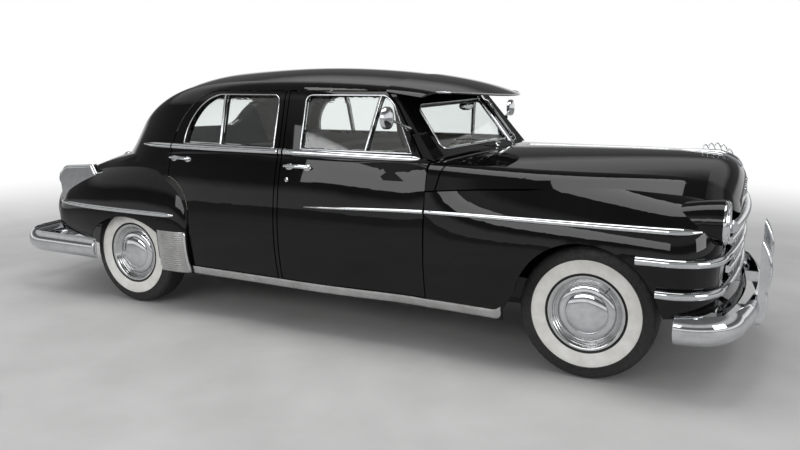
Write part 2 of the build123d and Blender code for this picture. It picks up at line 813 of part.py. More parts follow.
def plan_x(y, end_x, half_width, corner):
    """x of a wrap path's front arc at y."""
    corner_y = half_width - corner[1]
    big = (corner_y ** 2 + corner[0] ** 2 - corner[1] ** 2) / (2 * (corner[0] - corner[1]))
    return end_x - big + (big ** 2 - y ** 2) ** 0.5


def short_path(end_x, half_width, corner, half_span, z):
    """Front arc of a wrap path only, out to half_span on each side."""
    side = plan_x(half_span, end_x, half_width, corner)
    return ThreePointArc((side, -half_span, z), (end_x, 0, z), (side, half_span, z))


bars = []
for z, depth, height, end in grille_bars:
    if end < 2300:
        path = wrap_path(grille_x, grille_half_width, grille_corner, end, z)
        bars.append(swept_bar(path, bead(depth, height)))
    else:
        reach = 600.0
        face = Plane(origin=(plan_x(reach, grille_x, grille_half_width, grille_corner), -reach, z),
                     x_dir=(1, 0, 0), z_dir=(0, -1, 0)) * bead(depth, height)
        bars.append(sweep(face, path=short_path(grille_x, grille_half_width, grille_corner, reach, z)))
grille_low = grille_bars[-1][0]
grille_high = grille_bars[0][0]
teeth = []
for number in range(tooth_count):
    y = (number - (tooth_count - 1) / 2) * tooth_pitch
    x = plan_x(y, grille_x, grille_half_width, grille_corner)
    teeth.append(block(x - 8, x + tooth_depth - 8, y - tooth_width / 2, y + tooth_width / 2,
                       grille_low, grille_high))
grille = fuse(bars + teeth)
save("grille", grille)

# Front pan under the grille
pan_top_z = 522.0
pan_low_z = 400.0
pan_out = 95.0
pan_sections = []
for z, out in ((pan_top_z, 0.0), ((pan_top_z + pan_low_z) / 2, pan_out * 0.7), (pan_low_z, pan_out)):
    x_side = plan_x(760, grille_x - 40, grille_half_width, grille_corner) + out * 0.5
    x_mid = grille_x - 40 + out
    edges = [
        ThreePointArc((x_side, -760, z), (x_mid, 0, z), (x_side, 760, z)),
        Line((x_side, 760, z), (x_side - 8, 760, z)),
        ThreePointArc((x_side - 8, 760, z), (x_mid - 8, 0, z), (x_side - 8, -760, z)),
        Line((x_side - 8, -760, z), (x_side, -760, z)),
    ]
    pan_sections.append(Face(Wire(edges)))
fender_front_x = corner_x + corner_radius + seat_gap
pan_half = apron_y - seat_gap
pan_clear = block(2300, fender_front_x, -1000, 1000, 0, 900)
pan_clear = pan_clear - block(2300, fender_front_x, -pan_half, pan_half, 0, 900)
save("front_pan", loft(pan_sections) - pan_clear)

# Bumpers
bumper_z = 372.0
bumper_height = 150.0
bumper_bow = 42.0
bumper_wall = 5.0
guard_y = 335.0
guard_width = 84.0


def bumper(end_x, corner, side_x, guard_high, arm_x):
    """One bumper with its two guards and two arms back to the frame."""
    path = wrap_path(end_x, bumper_half_width - bumper_bow, corner, side_x, bumper_z)
    face_bar = swept_bar(path, bow(bumper_bow, bumper_height, bumper_wall))
    way = 1 if end_x > 0 else -1
    tip = way * guard_tip_x
    back = end_x + way * 6
    high = guard_high
    edges = [
        Line((back, 285), (tip - way * 20, 292)),
        ThreePointArc((tip - way * 20, 292), (tip, 380), (tip - way * 6, 470)),
        ThreePointArc((tip - way * 6, 470), (tip - way * 12, high - 60), (tip - way * 45, high)),
        Line((tip - way * 45, high), (back - way * 4, high - 20)),
        Line((back - way * 4, high - 20), (back, 285)),
    ]
    guard = side_prism(edges, -guard_y - guard_width / 2, -guard_y + guard_width / 2)
    guard = guard.fillet(16, [e for e in guard.edges() if abs(e.center().X) > abs(back) + 12
                              and abs(abs(e.center().Y) - guard_y) > guard_width / 2 - 1])
    arm = block(min(arm_x, end_x), max(arm_x, end_x), -405, -385, 340, 400)
    pieces = both(guard) + both(arm)
    return face_bar + fuse(pieces)


save("bumper_front", bumper(front_bumper_x, (320.0, 250.0), 2252.0, 742.0, 2400.0))
save("bumper_rear", bumper(rear_bumper_x, (330.0, 260.0), 1690.0, 660.0, -2390.0))

# Wheels
rim_half = rim_width / 2


def tyre(centre):
    half = tyre_width / 2
    shoulder_radius = tyre_radius - 9
    bead_half = rim_half - 3
    edges = [
        Line((bead_radius + 2, -bead_half), (bead_radius + 2, bead_half)),
        Line((bead_radius + 2, bead_half), (rim_radius + 3, rim_half)),
        ThreePointArc((rim_radius + 3, rim_half), (280, half), (shoulder_radius, half - 28)),
        ThreePointArc((shoulder_radius, half - 28), (tyre_radius, 0), (shoulder_radius, 28 - half)),
        ThreePointArc((shoulder_radius, 28 - half), (280, -half), (rim_radius + 3, -rim_half)),
        Line((rim_radius + 3, -rim_half), (bead_radius + 2, -bead_half)),
    ]
    return turned(edges, centre)


spindle_radius = 22.0
hub_in = 6.0              # hub's inner end, inboard of the wheel's middle plane
plate_in = (12.0, 24.0)   # backing plate's faces, inboard of the wheel's middle plane


def wheel(centre, side):
    """Rim, dished disc, bored hub and domed cap; side is -1 when the cap faces right."""
    disc_y = 24.0
    cap_y = 44.0
    edges = [
        Line((rim_radius, rim_half + 6), (rim_radius, rim_half)),
        Line((rim_radius, rim_half), (bead_radius + 1.7, rim_half - 2)),
        Line((bead_radius + 1.7, rim_half - 2), (bead_radius + 1.7, -rim_half + 2)),
        Line((bead_radius + 1.7, -rim_half + 2), (rim_radius, -rim_half)),
        Line((rim_radius, -rim_half), (rim_radius, -rim_half - 6)),
        Line((rim_radius, -rim_half - 6), (bead_radius - 5, -rim_half)),
        Line((bead_radius - 5, -rim_half), (168, -30)),
        Line((168, -30), (168, disc_y - 8)),
        Line((168, disc_y - 8), (60, disc_y)),
        Line((60, disc_y), (52, -hub_in)),
        Line((52, -hub_in), (spindle_radius + seat_gap, -hub_in)),
        Line((spindle_radius + seat_gap, -hub_in), (spindle_radius + seat_gap, disc_y + 8)),
        Line((spindle_radius + seat_gap, disc_y + 8), (0, disc_y + 8)),
        Line((0, disc_y + 8), (0, cap_y + hubcap_rise)),
        ThreePointArc((0, cap_y + hubcap_rise), (70, cap_y + hubcap_rise - 8), (112, cap_y + 14)),
        Line((112, cap_y + 14), (hubcap_radius, cap_y + 6)),
        Line((hubcap_radius, cap_y + 6), (hubcap_radius, cap_y - 6)),
        Line((hubcap_radius, cap_y - 6), (172, disc_y + 4)),
        Line((172, disc_y + 4), (bead_radius - 3, rim_half)),
        Line((bead_radius - 3, rim_half), (rim_radius, rim_half + 6)),
    ]
    body = turned(edges, (0, 0, 0))
    if side < 0:
        body = mirror(body, Plane.XZ)
    return Pos(*centre) * body


wheel_places = {
    "front_right": (front_axle_x, -front_track / 2, tyre_radius),
    "front_left": (front_axle_x, front_track / 2, tyre_radius),
    "rear_right": (rear_axle_x, -rear_track / 2, tyre_radius),
    "rear_left": (rear_axle_x, rear_track / 2, tyre_radius),
}
for name, centre in wheel_places.items():
    save(f"tyre_{name}", tyre(centre))
    save(f"wheel_{name}", wheel(centre, 1 if centre[1] > 0 else -1))

# Front knuckles, each turning on its kingpin
kingpin_y = front_track / 2 - kingpin_offset
upright_low = tyre_radius - 110.0
upright_high = tyre_radius + 110.0
front_plate_radius = 100.0
rear_plate_radius = 140.0


def bar_y(x, z, y0, y1, radius):
    """Round bar across the car."""
    return Pos(x, (y0 + y1) / 2, z) * Rot(90, 0, 0) * Cylinder(radius, abs(y1 - y0))


def pillar(x, y, z0, z1, radius):
    """Round upright bar."""
    return Pos(x, y, (z0 + z1) / 2) * Cylinder(radius, z1 - z0)


wheel_y = front_track / 2
knuckle = bar_y(front_axle_x, tyre_radius, -wheel_y - 30, -kingpin_y, spindle_radius)
knuckle = knuckle + block(front_axle_x - 24, front_axle_x + 24, -kingpin_y - 18, -kingpin_y + 18,
                          upright_low, upright_high)
knuckle = knuckle + bar_y(front_axle_x, tyre_radius, -wheel_y + plate_in[0], -wheel_y + plate_in[1],
                          front_plate_radius)
knuckle = knuckle + block(front_axle_x - 120, front_axle_x - 10, -kingpin_y + 4, -kingpin_y + 18, 300, 330)
save("knuckle_right", knuckle)
save("knuckle_left", mirror(knuckle, Plane.XZ))

# Frame: two rails with kick-ups over the axles, and cross-members
rail_y = 380.0
rail_width = 50.0
rail_depth = 80.0
# x and height of the rail's underside
rail_line = [
    (2400, 335), (2150, 335), (2000, 300), (1600, 300), (1400, 240),
    (-900, 240), (-1120, 420), (-1640, 420), (-1850, 345), (-2390, 345),
]
high_edge = [(x, z + rail_depth) for x, z in reversed(rail_line)]
rail = side_prism(Polyline(*rail_line, *high_edge, close=True).edges(),
                  -rail_y - rail_width / 2, -rail_y + rail_width / 2)
# x of each cross-member, height of its underside and top
cross_members = [
    (2360, 341, 395), (1805, 306, 360), (700, 246, 300), (-640, 246, 300),
    (-1120, 465, 495), (-1640, 465, 495), (-2340, 351, 405),
]
members = [block(x - 35, x + 35, -rail_y, rail_y, low, high) for x, low, high in cross_members]
sill_arms = []
for x in (760, 0, -760):
    sill_arms.append(block(x - 30, x + 30, -820, -rail_y, 262, floor_z - floor_thickness - 1))
frame = fuse(both(rail) + members)
for arm in sill_arms:
    frame = frame + fuse(both(arm))
save("chassis_frame", frame)

# Floor, seated in the body sides, with a step up under the rear seat
floor_wall = 12.0
cabin_floor = lower_inner & block(
    heel_x, firewall_x - firewall_wall, -900, 900, floor_z - floor_thickness, floor_z)
heel = lower_inner & block(heel_x - floor_wall, heel_x, -900, 900, floor_z - floor_thickness, trunk_floor_z)
rear_floor = lower_inner & block(tail_x + 60, heel_x, -900, 900, trunk_floor_z - floor_wall, trunk_floor_z)
floor = cabin_floor + heel + (rear_floor - fuse(both(house_wheel)))
inner_tunnel = tunnel_volume(tunnel_wall)
tunnel = tunnel_volume(0) & block(
    heel_x - floor_wall, firewall_x - firewall_wall, -300, 300, floor_z - floor_thickness, 900)
floor = (floor + tunnel) - inner_tunnel - fuse(both(post))
save("floor_pan", floor)

# Front suspension: wishbones, coil and its tower, from the frame to the kingpins
pin_gap = 0.5
arm_inner_y = rail_y + rail_width / 2
arm_outer_y = kingpin_y + 8
coil_y = arm_inner_y + 70
coil_radius = 50.0
tower_top = upright_high - 14
low_arm_z = upright_low - pin_gap
high_arm_z = upright_high + pin_gap


def wishbone(spread, y_in, z0, z1):
    """Flat arm that narrows towards the kingpin, symmetrical about the axle."""
    half = [(spread, y_in), (34, kingpin_y - 130), (26, arm_outer_y)]
    points = [(front_axle_x - x, -y) for x, y in half]
    points = points + [(front_axle_x + x, -y) for x, y in reversed(half)]
    return extrude(Pos(0, 0, z0) * make_face(Polyline(*points, close=True).edges()), amount=z1 - z0)


low_arm = wishbone(205, arm_inner_y, low_arm_z - 22, low_arm_z)
high_arm = wishbone(140, arm_inner_y + 5, high_arm_z, high_arm_z + 20)
low_link = block(front_axle_x - 205, front_axle_x + 205, -arm_inner_y - 30, -arm_inner_y, low_arm_z - 22, 320)
coil = pillar(front_axle_x, -coil_y, low_arm_z - 1, tower_top + 1, coil_radius)
coil = coil - pillar(front_axle_x, -coil_y, low_arm_z - 5, tower_top + 5, coil_radius - 12)
tower_x = (front_axle_x - 60, front_axle_x + 60)
tower = block(*tower_x, -arm_inner_y, -rail_y + 20, 300 + rail_depth, tower_top + 14)
shelf = block(*tower_x, -coil_y - coil_radius, -rail_y, tower_top, tower_top + 14)
pivot = block(front_axle_x - 140, front_axle_x + 140, -arm_inner_y - 30, -arm_inner_y + 10,
              tower_top + 14, high_arm_z + 20)
linkage = fuse([low_arm, low_link, coil, tower + shelf, pivot, high_arm])
save("front_suspension", *both(linkage))

# Rear axle: tube, differential bowl, backing plates and stub shafts
rear_wheel_y = rear_track / 2
axle = bar_y(rear_axle_x, tyre_radius, -rear_wheel_y + plate_in[1], rear_wheel_y - plate_in[1], 40)
bowl = Pos(rear_axle_x, 0, tyre_radius) * Sphere(125)
stub = bar_y(rear_axle_x, tyre_radius, -rear_wheel_y - 30, -rear_wheel_y + plate_in[1], spindle_radius)
plate = bar_y(rear_axle_x, tyre_radius, -rear_wheel_y + plate_in[0], -rear_wheel_y + plate_in[1],
              rear_plate_radius)
pinion = Pos(rear_axle_x + 150, 0, tyre_radius) * Rot(0, 90, 0) * Cylinder(52, 160)
rear_axle = axle + bowl + pinion + fuse(both(stub) + both(plate))

# Leaf springs over the axle, shackled to the rails
spring_y = 470.0
spring_width = 56.0
spring_half = 560.0
spring_drop = 60.0
leaf_end = 14.0
leaf_pack = 42.0
leaf_top_z = tyre_radius + 40 + leaf_pack
eye_z = leaf_top_z + spring_drop
eyes = (rear_axle_x - spring_half, rear_axle_x + spring_half)
leaf_edges = [
    Line((eyes[0], eye_z - leaf_end), (eyes[0], eye_z)),
    ThreePointArc((eyes[0], eye_z), (rear_axle_x, leaf_top_z), (eyes[1], eye_z)),
    Line((eyes[1], eye_z), (eyes[1], eye_z - leaf_end)),
    ThreePointArc((eyes[1], eye_z - leaf_end), (rear_axle_x, leaf_top_z - leaf_pack),
                  (eyes[0], eye_z - leaf_end)),
]
leaf = side_prism(leaf_edges, -spring_y - spring_width / 2, -spring_y + spring_width / 2)
hangers = []
for x in (eyes[0] + 14, eyes[1] - 14):
    hangers.append(block(x - 14, x + 14, -spring_y - spring_width / 2, -rail_y - rail_width / 2,
                         eye_z - 40, eye_z - leaf_end + 4))
springs = both(fuse([leaf] + hangers))

# Engine with its gearbox: one block on the front cross-member
engine_x = (1180.0, 2030.0)
engine_half = 210.0
engine_z = (300 + rail_depth - 20.0, 930.0)
gearbox_x = 560.0
engine = block(engine_x[0], engine_x[1], -engine_half, engine_half, engine_z[0], engine_z[1] - 180)
engine = engine + block(engine_x[0] + 20, engine_x[1] - 20, -120, 120, engine_z[1] - 180, engine_z[1])
gearbox = loft([
    across(engine_x[0]) * Pos(0, 480) * Circle(190),
    across(firewall_x + 30) * Pos(0, 400) * Circle(110),
])
gear_tail = loft([
    across(firewall_x + 30) * Pos(0, 400) * Circle(110),
    across(gearbox_x) * Pos(0, 370) * Circle(55),
])
engine = engine + (gearbox + gear_tail)
save("engine", engine)

# Drive shaft from gearbox to pinion
shaft_start = (gearbox_x - 0.3, 0, 370)
shaft_end = (rear_axle_x + 230.3, 0, tyre_radius)
save("rear_axle", rear_axle, *springs, rod(shaft_start, shaft_end, 34))

# Radiator in its support panel
radiator_x = 2230.0
radiator = block(radiator_x, radiator_x + 60, -270, 270, 500, 900)
tank = block(radiator_x - 8, radiator_x + 68, -280, 280, 900, 965)
tank = tank.fillet(18, [e for e in tank.edges() if e.center().Z > 950])
support = block(radiator_x + 16, radiator_x + 26, -apron_y + seat_gap, apron_y - seat_gap,
                335 + rail_depth, 860)
save("radiator", radiator + tank + support)

# Exhaust under the right side of the floor: down pipe, muffler, and a pipe over the axle to the tail
exhaust_y = -200.0
pipe_z = 215.0
pipe_radius = 24.0
muffler_z = 240.0
muffler = Pos(-300, exhaust_y, muffler_z) * Rot(0, 90, 0) * Cylinder(70, 560)
down_pipe = FilletPolyline((-25, exhaust_y, pipe_z), (1250, exhaust_y, pipe_z),
                           (1250, exhaust_y, engine_z[0] - seat_gap), radius=60)
tail_pipe = FilletPolyline((-575, exhaust_y, pipe_z), (-980, exhaust_y, pipe_z), (-1140, exhaust_y, 430),
                           (-1620, exhaust_y, 430), (-1850, exhaust_y, 290), (-2500, exhaust_y, 285),
                           radius=90)
bore = Circle(pipe_radius)
front_pipe = sweep(Plane(origin=(-25, exhaust_y, pipe_z), z_dir=(1, 0, 0)) * bore, path=down_pipe)
rear_pipe = sweep(Plane(origin=(-575, exhaust_y, pipe_z), z_dir=(-1, 0, 0)) * bore, path=tail_pipe)
save("exhaust", muffler + front_pipe + rear_pipe)

# Fuel tank under the trunk floor
tank_body = block(-2290, -1720, -150 + 20, 330, 345, trunk_floor_z - 12)
tank_body = tank_body.fillet(40, tank_body.edges().filter_by(Axis.Z))
save("fuel_tank", tank_body)

# Tail lamps on the rear fenders
tail_lamp_y = 800.0
tail_lamp_width = 60.0
tail_lamp_round = 20.0
lamp_edges = [
    Line((-1728, 900), (-1764, 966)),
    Line((-1764, 966), (-2040, 946)),
    ThreePointArc((-2040, 946), (-2092, 905), (-2108, 800)),
    Line((-2108, 800), (-2090, 600)),
    Line((-2090, 600), (-1728, 800)),
    Line((-1728, 800), (-1728, 900)),
]
tail_lamp = side_prism(lamp_edges, -tail_lamp_y - tail_lamp_width / 2, -tail_lamp_y + tail_lamp_width / 2)
lamp_rims = [e for e in tail_lamp.edges()
             if abs(abs(e.center().Y) - tail_lamp_y) > tail_lamp_width / 2 - 1]
tail_lamp = tail_lamp.fillet(tail_lamp_round, lamp_rims) - rear_skin_volume
save("tail_lamps", *both(tail_lamp))

# Seats
seat_base = 0.5           # running fit of a seat on the floor


def bench(x_back, depth, z_low, z_seat, z_top, half):
    """Bench seat: a wedge cushion and a leaning back, in right-hand side view."""
    front = x_back + depth
    cushion = [
        Line((x_back + 60, z_low), (front - 40, z_low)),
        Line((front - 40, z_low), (front, z_seat - 30)),
        ThreePointArc((front, z_seat - 30), (front - 20, z_seat + 8), (front - 70, z_seat + 14)),
        Line((front - 70, z_seat + 14), (x_back + 120, z_seat - 20)),
        Line((x_back + 120, z_seat - 20), (x_back + 60, z_low)),
    ]
    back = [
        Line((x_back + 60, z_seat - 40), (x_back + 118, z_seat - 19)),
        Line((x_back + 118, z_seat - 19), (x_back + 60, z_top - 30)),
        ThreePointArc((x_back + 60, z_top - 30), (x_back + 30, z_top), (x_back - 5, z_top - 30)),
        Line((x_back - 5, z_top - 30), (x_back + 10, z_seat - 60)),
        Line((x_back + 10, z_seat - 60), (x_back + 60, z_seat - 40)),
    ]
    return side_prism(cushion, -half, half) + side_prism(back, -half, half)


tunnel_clear = tunnel_volume(-3) & block(heel_x, 700, -300, 300, 200, 600)
rear_foot = block(heel_x + 3, heel_x + 140, -560, 560, floor_z + seat_base, trunk_floor_z + 20)
front_bench = bench(60, 560, floor_z + seat_base, 660, 1080, 640)
rear_bench = bench(-1165, 560, trunk_floor_z + seat_base, 690, 1085, 600)
save("front_seat", front_bench - tunnel_clear)
save("rear_seat", (rear_bench + rear_foot) - tunnel_clear)

# Dashboard and steering wheel
dash_front = 700.0
dash_back = cowl_back_x - seat_gap
dash_edges = [
    Line((dash_front, 1080), (dash_front, 860)),
    Line((dash_front, 860), (dash_back - 30, 840)),
    Line((dash_back - 30, 840), (dash_back, 1080)),
    Line((dash_back, 1080), (dash_front, 1080)),
]
dashboard = side_prism(dash_edges, -780, 780)
dashboard = dashboard.fillet(30, [e for e in dashboard.edges() if abs(e.center().X - dash_front) < 5])
save("dashboard", dashboard)

wheel_centre = Vector(520, 370, 1010)
column_foot = Vector(960, 370, 640)
column_axis = (wheel_centre - column_foot).normalized()
wheel_frame = Plane(origin=wheel_centre, z_dir=column_axis)
steering_ring = wheel_frame * Torus(205, 12)
hub = wheel_frame * Pos(0, 0, -20) * Cylinder(36, 50)
spokes = wheel_frame * Pos(0, 0, -10) * Box(400, 26, 12)
column = rod(column_foot, wheel_centre - column_axis * 30, 24)
save("steering_wheel", (steering_ring + spokes + hub + column) - dashboard - firewall)
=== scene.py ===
import json
import math

import bmesh
import bpy
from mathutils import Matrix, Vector
from mathutils.bvhtree import BVHTree


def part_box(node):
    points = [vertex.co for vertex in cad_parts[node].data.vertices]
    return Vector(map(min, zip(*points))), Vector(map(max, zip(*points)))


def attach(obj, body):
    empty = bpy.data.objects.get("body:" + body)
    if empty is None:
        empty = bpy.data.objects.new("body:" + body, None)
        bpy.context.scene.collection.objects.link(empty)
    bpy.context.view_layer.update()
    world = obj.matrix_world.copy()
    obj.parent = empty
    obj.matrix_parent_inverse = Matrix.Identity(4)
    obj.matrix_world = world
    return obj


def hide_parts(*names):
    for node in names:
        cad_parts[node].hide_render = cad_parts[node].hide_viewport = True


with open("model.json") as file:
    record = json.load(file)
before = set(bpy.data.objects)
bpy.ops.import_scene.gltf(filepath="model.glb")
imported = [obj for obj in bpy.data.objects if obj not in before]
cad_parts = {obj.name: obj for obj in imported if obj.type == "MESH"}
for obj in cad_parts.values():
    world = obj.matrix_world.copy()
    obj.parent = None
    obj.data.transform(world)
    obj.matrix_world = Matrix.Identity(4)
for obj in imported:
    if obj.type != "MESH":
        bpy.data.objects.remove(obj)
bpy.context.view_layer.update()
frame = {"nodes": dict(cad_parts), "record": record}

# Metres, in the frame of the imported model: x forward, y to the left, z up.
right, left = -1, 1
side_names = {right: "right", left: "left"}
ends = ("front", "rear")
ahead, astern = Vector((1, 0, 0)), Vector((-1, 0, 0))
upward, down = Vector((0, 0, 1)), Vector((0, 0, -1))

# Camera at the photograph's viewing angle, framed for 800 by 450
camera_place = (2.619, -4.521, 1.533)
camera_yaw = -27.08       # degrees, 0 looks along +y
camera_pitch = 10.83      # degrees below level
camera_lens = 33.13       # millimetres on a 36 mm sensor

scene = bpy.context.scene
scene.view_settings.view_transform = "Standard"


def camera():
    """Camera that sees the car as the photograph does."""
    data = bpy.data.cameras.new("camera")
    data.sensor_width = 36.0
    data.lens = camera_lens
    data.clip_end = 200.0
    view = bpy.data.objects.new("camera", data)
    scene.collection.objects.link(view)
    yaw, pitch = math.radians(camera_yaw), math.radians(camera_pitch)
    look = Vector((math.sin(yaw) * math.cos(pitch), math.cos(yaw) * math.cos(pitch), -math.sin(pitch)))
    view.location = camera_place
    view.rotation_euler = look.to_track_quat("-Z", "Y").to_euler()
    scene.camera = view


camera()


# Shader helpers

def add_node(tree, kind, inputs=None, **settings):
    """Shader node with its settings and the values of its inputs."""
    node = tree.nodes.new(kind)
    for key, value in settings.items():
        setattr(node, key, value)
    for key, value in (inputs or {}).items():
        node.inputs[key].default_value = value
    return node


def add_ramp(tree, source, stops):
    """Colour ramp over a value, from (position, brightness or colour) stops."""
    node = add_node(tree, "ShaderNodeValToRGB")
    elements = node.color_ramp.elements
    while len(elements) < len(stops):
        elements.new(0.5)
    for element, (position, value) in zip(elements, stops):
        element.position = position
        element.color = (*(value if isinstance(value, tuple) else (value,) * 3), 1.0)
    tree.links.new(source, node.inputs["Fac"])
    return node.outputs["Color"]


def combined(tree, operation, first, second):
    """Value worked out from two others."""
    node = add_node(tree, "ShaderNodeMath", operation=operation)
    tree.links.new(first, node.inputs[0])
    tree.links.new(second, node.inputs[1])
    return node.outputs["Value"]


def mixed(tree, share, first, second):
    """Mix of two shaders."""
    node = add_node(tree, "ShaderNodeMixShader")
    tree.links.new(share, node.inputs["Fac"])
    tree.links.new(first, node.inputs[1])
    tree.links.new(second, node.inputs[2])
    return node.outputs["Shader"]


def seen_directly(tree):
    """1 for what the camera sees, straight or through glass."""
    rays = add_node(tree, "ShaderNodeLightPath").outputs
    return combined(tree, "MAXIMUM", rays["Is Camera Ray"], rays["Is Transmission Ray"])


# Materials

class Surface:
    """A material with procedural detail: tint varies its colour, gloss its roughness, relief its height."""

    def __init__(self, name, colour, roughness, metallic=0.0, tint=None, gloss=None, relief=None, sockets=None):
        self.material = bpy.data.materials.new(name)
        self.material.use_nodes = True
        self.tree = self.material.node_tree
        self.shader = self.tree.nodes["Principled BSDF"]
        values = {"Base Color": (*colour, 1.0), "Roughness": roughness, "Metallic": metallic}
        for socket, value in {**values, **(sockets or {})}.items():
            self.shader.inputs[socket].default_value = value
        self.place = add_node(self.tree, "ShaderNodeTexCoord").outputs["Object"]
        if tint:
            self.vary_colour(*tint)
        if gloss:
            self.vary_roughness(*gloss)
        if relief:
            self.bump(*relief)

    def link(self, start, end):
        self.tree.links.new(start, end)

    def noise(self, scale, detail, stretch=None):
        """Noise over the object's coordinates, which may be multiplied along each axis first."""
        source = self.place
        if stretch:
            mapping = add_node(self.tree, "ShaderNodeMapping", {"Scale": stretch})
            self.link(source, mapping.inputs["Vector"])
            source = mapping.outputs["Vector"]
        node = add_node(self.tree, "ShaderNodeTexNoise", {"Scale": scale, "Detail": detail, "Roughness": 0.55})
        self.link(source, node.inputs["Vector"])
        return node.outputs["Fac"]

    def vary_colour(self, scale, first, second, detail=3.0, stretch=None):
        colour = add_ramp(self.tree, self.noise(scale, detail, stretch), [(0.35, first), (0.65, second)])
        self.link(colour, self.shader.inputs["Base Color"])

    def vary_roughness(self, scale, low, high):
        limits = {"From Min": 0.3, "From Max": 0.7, "To Min": low, "To Max": high}
        spread = add_node(self.tree, "ShaderNodeMapRange", limits)
        self.link(self.noise(scale, 4.0), spread.inputs["Value"])
        self.link(spread.outputs["Result"], self.shader.inputs["Roughness"])

    def bump(self, scale, detail, strength, height, stretch=None):
        node = add_node(self.tree, "ShaderNodeBump", {"Strength": strength, "Distance": height})
        self.link(self.noise(scale, detail, stretch), node.inputs["Height"])
        self.link(node.outputs["Normal"], self.shader.inputs["Normal"])


def material(*values, **details):
    return Surface(*values, **details).material


def grey(value):
    return (value, value, value)


# Polished black enamel, with faint orange peel and dust
black_enamel = material(
    "black_enamel", grey(0.003), 0.3, tint=(3.0, grey(0.002), (0.004, 0.0035, 0.0035)), gloss=(9.0, 0.24, 0.40),
    relief=(420.0, 2.0, 0.015, 0.0004),
    sockets={"Specular IOR Level": 0.0, "Coat Weight": 1.0, "Coat Roughness": 0.02, "Coat IOR": 1.38})
chrome_plate = material(
    "chrome", (0.66, 0.675, 0.69), 0.06, 1.0, tint=(26.0, (0.62, 0.635, 0.65), (0.70, 0.715, 0.73)),
    gloss=(34.0, 0.03, 0.10), relief=(18.0, 2.0, 0.02, 0.001))
polished_steel = material(
    "stainless", (0.58, 0.585, 0.59), 0.14, 1.0, tint=(22.0, (0.54, 0.545, 0.55), (0.62, 0.625, 0.63)),
    gloss=(30.0, 0.10, 0.20), relief=(15.0, 2.0, 0.015, 0.001))
# Satin aluminium, lightly scuffed along its length
aluminium = material(
    "satin_aluminium", grey(0.50), 0.3, 1.0, tint=(9.0, (0.45, 0.445, 0.44), grey(0.55), 5.0),
    gloss=(24.0, 0.24, 0.42), relief=(1.0, 2.0, 0.03, 0.0004, (3.0, 30.0, 260.0)))
window_glass = material(
    "window_glass", (0.93, 0.96, 0.95), 0.025, gloss=(12.0, 0.02, 0.035),
    sockets={"Transmission Weight": 1.0, "IOR": 1.46})
tyre_rubber = material(
    "tyre_rubber", grey(0.016), 0.62, tint=(60.0, grey(0.012), (0.024, 0.023, 0.022)), gloss=(45.0, 0.50, 0.74),
    relief=(700.0, 2.0, 0.12, 0.0006))
whitewall = material(
    "whitewall_rubber", (0.78, 0.77, 0.73), 0.55, tint=(14.0, (0.70, 0.685, 0.64), (0.82, 0.81, 0.78), 5.0),
    gloss=(50.0, 0.45, 0.66), relief=(500.0, 2.0, 0.08, 0.0005))
wheel_enamel = material(
    "wheel_enamel", grey(0.012), 0.3, gloss=(30.0, 0.22, 0.42), relief=(300.0, 2.0, 0.04, 0.0005),
    sockets={"Coat Weight": 0.6, "Coat Roughness": 0.1})


def wool():
    """Woven wool upholstery with a faint stripe."""
    surface = Surface("striped_wool", (0.24, 0.225, 0.20), 0.92, gloss=(80.0, 0.82, 0.98),
                      relief=(1.0, 2.0, 0.35, 0.0012, grey(900.0)),
                      sockets={"Sheen Weight": 0.4, "Sheen Roughness": 0.4})
    stripe = add_node(surface.tree, "ShaderNodeTexWave", {"Scale": 7.0, "Distortion": 0.0},
                      wave_type="BANDS", bands_direction="Y", wave_profile="SIN")
    surface.link(surface.place, stripe.inputs["Vector"])
    colour = add_ramp(surface.tree, stripe.outputs["Fac"],
                      [(0.80, (0.23, 0.215, 0.19)), (0.97, (0.34, 0.32, 0.285))])
    surface.link(colour, surface.shader.inputs["Base Color"])
    return surface.material


seat_wool = wool()
lining = material(
    "headliner_cloth", (0.30, 0.28, 0.25), 0.95, tint=(40.0, (0.27, 0.25, 0.225), (0.33, 0.31, 0.275)),
    gloss=(90.0, 0.88, 1.0), relief=(800.0, 2.0, 0.3, 0.001))
floor_carpet = material(
    "wool_carpet", (0.045, 0.040, 0.036), 0.97, tint=(220.0, (0.030, 0.027, 0.024), (0.062, 0.055, 0.049), 4.0),
    gloss=(150.0, 0.9, 1.0), relief=(900.0, 3.0, 0.6, 0.003), sockets={"Sheen Weight": 0.3})
# Dashboard enamel with a painted wood grain
dash_enamel = material(
    "dash_enamel", (0.10, 0.065, 0.045), 0.35,
    tint=(1.0, (0.07, 0.043, 0.028), (0.14, 0.092, 0.062), 4.0, (30.0, 4.0, 90.0)),
    gloss=(30.0, 0.28, 0.45), relief=(200.0, 2.0, 0.05, 0.0005),
    sockets={"Coat Weight": 0.5, "Coat Roughness": 0.15})
wheel_plastic = material(
    "moulded_plastic", (0.34, 0.30, 0.24), 0.32, tint=(20.0, (0.30, 0.265, 0.21), (0.38, 0.34, 0.275)),
    gloss=(60.0, 0.26, 0.42), relief=(150.0, 2.0, 0.04, 0.0005))
lamp_glass = material(
    "lamp_glass", (0.95, 0.97, 0.97), 0.02, gloss=(70.0, 0.0, 0.05),
    sockets={"Transmission Weight": 1.0, "IOR": 1.5})
red_glass = material(
    "red_lamp_glass", (0.50, 0.008, 0.010), 0.08, tint=(30.0, (0.42, 0.006, 0.008), (0.58, 0.012, 0.014)),
    gloss=(60.0, 0.05, 0.14), sockets={"Transmission Weight": 0.25, "Coat Weight": 1.0})
chassis_paint = material(
    "chassis_paint", (0.022, 0.021, 0.020), 0.6, tint=(7.0, grey(0.015), (0.045, 0.040, 0.034), 6.0),
    gloss=(25.0, 0.48, 0.85), relief=(120.0, 5.0, 0.25, 0.001))
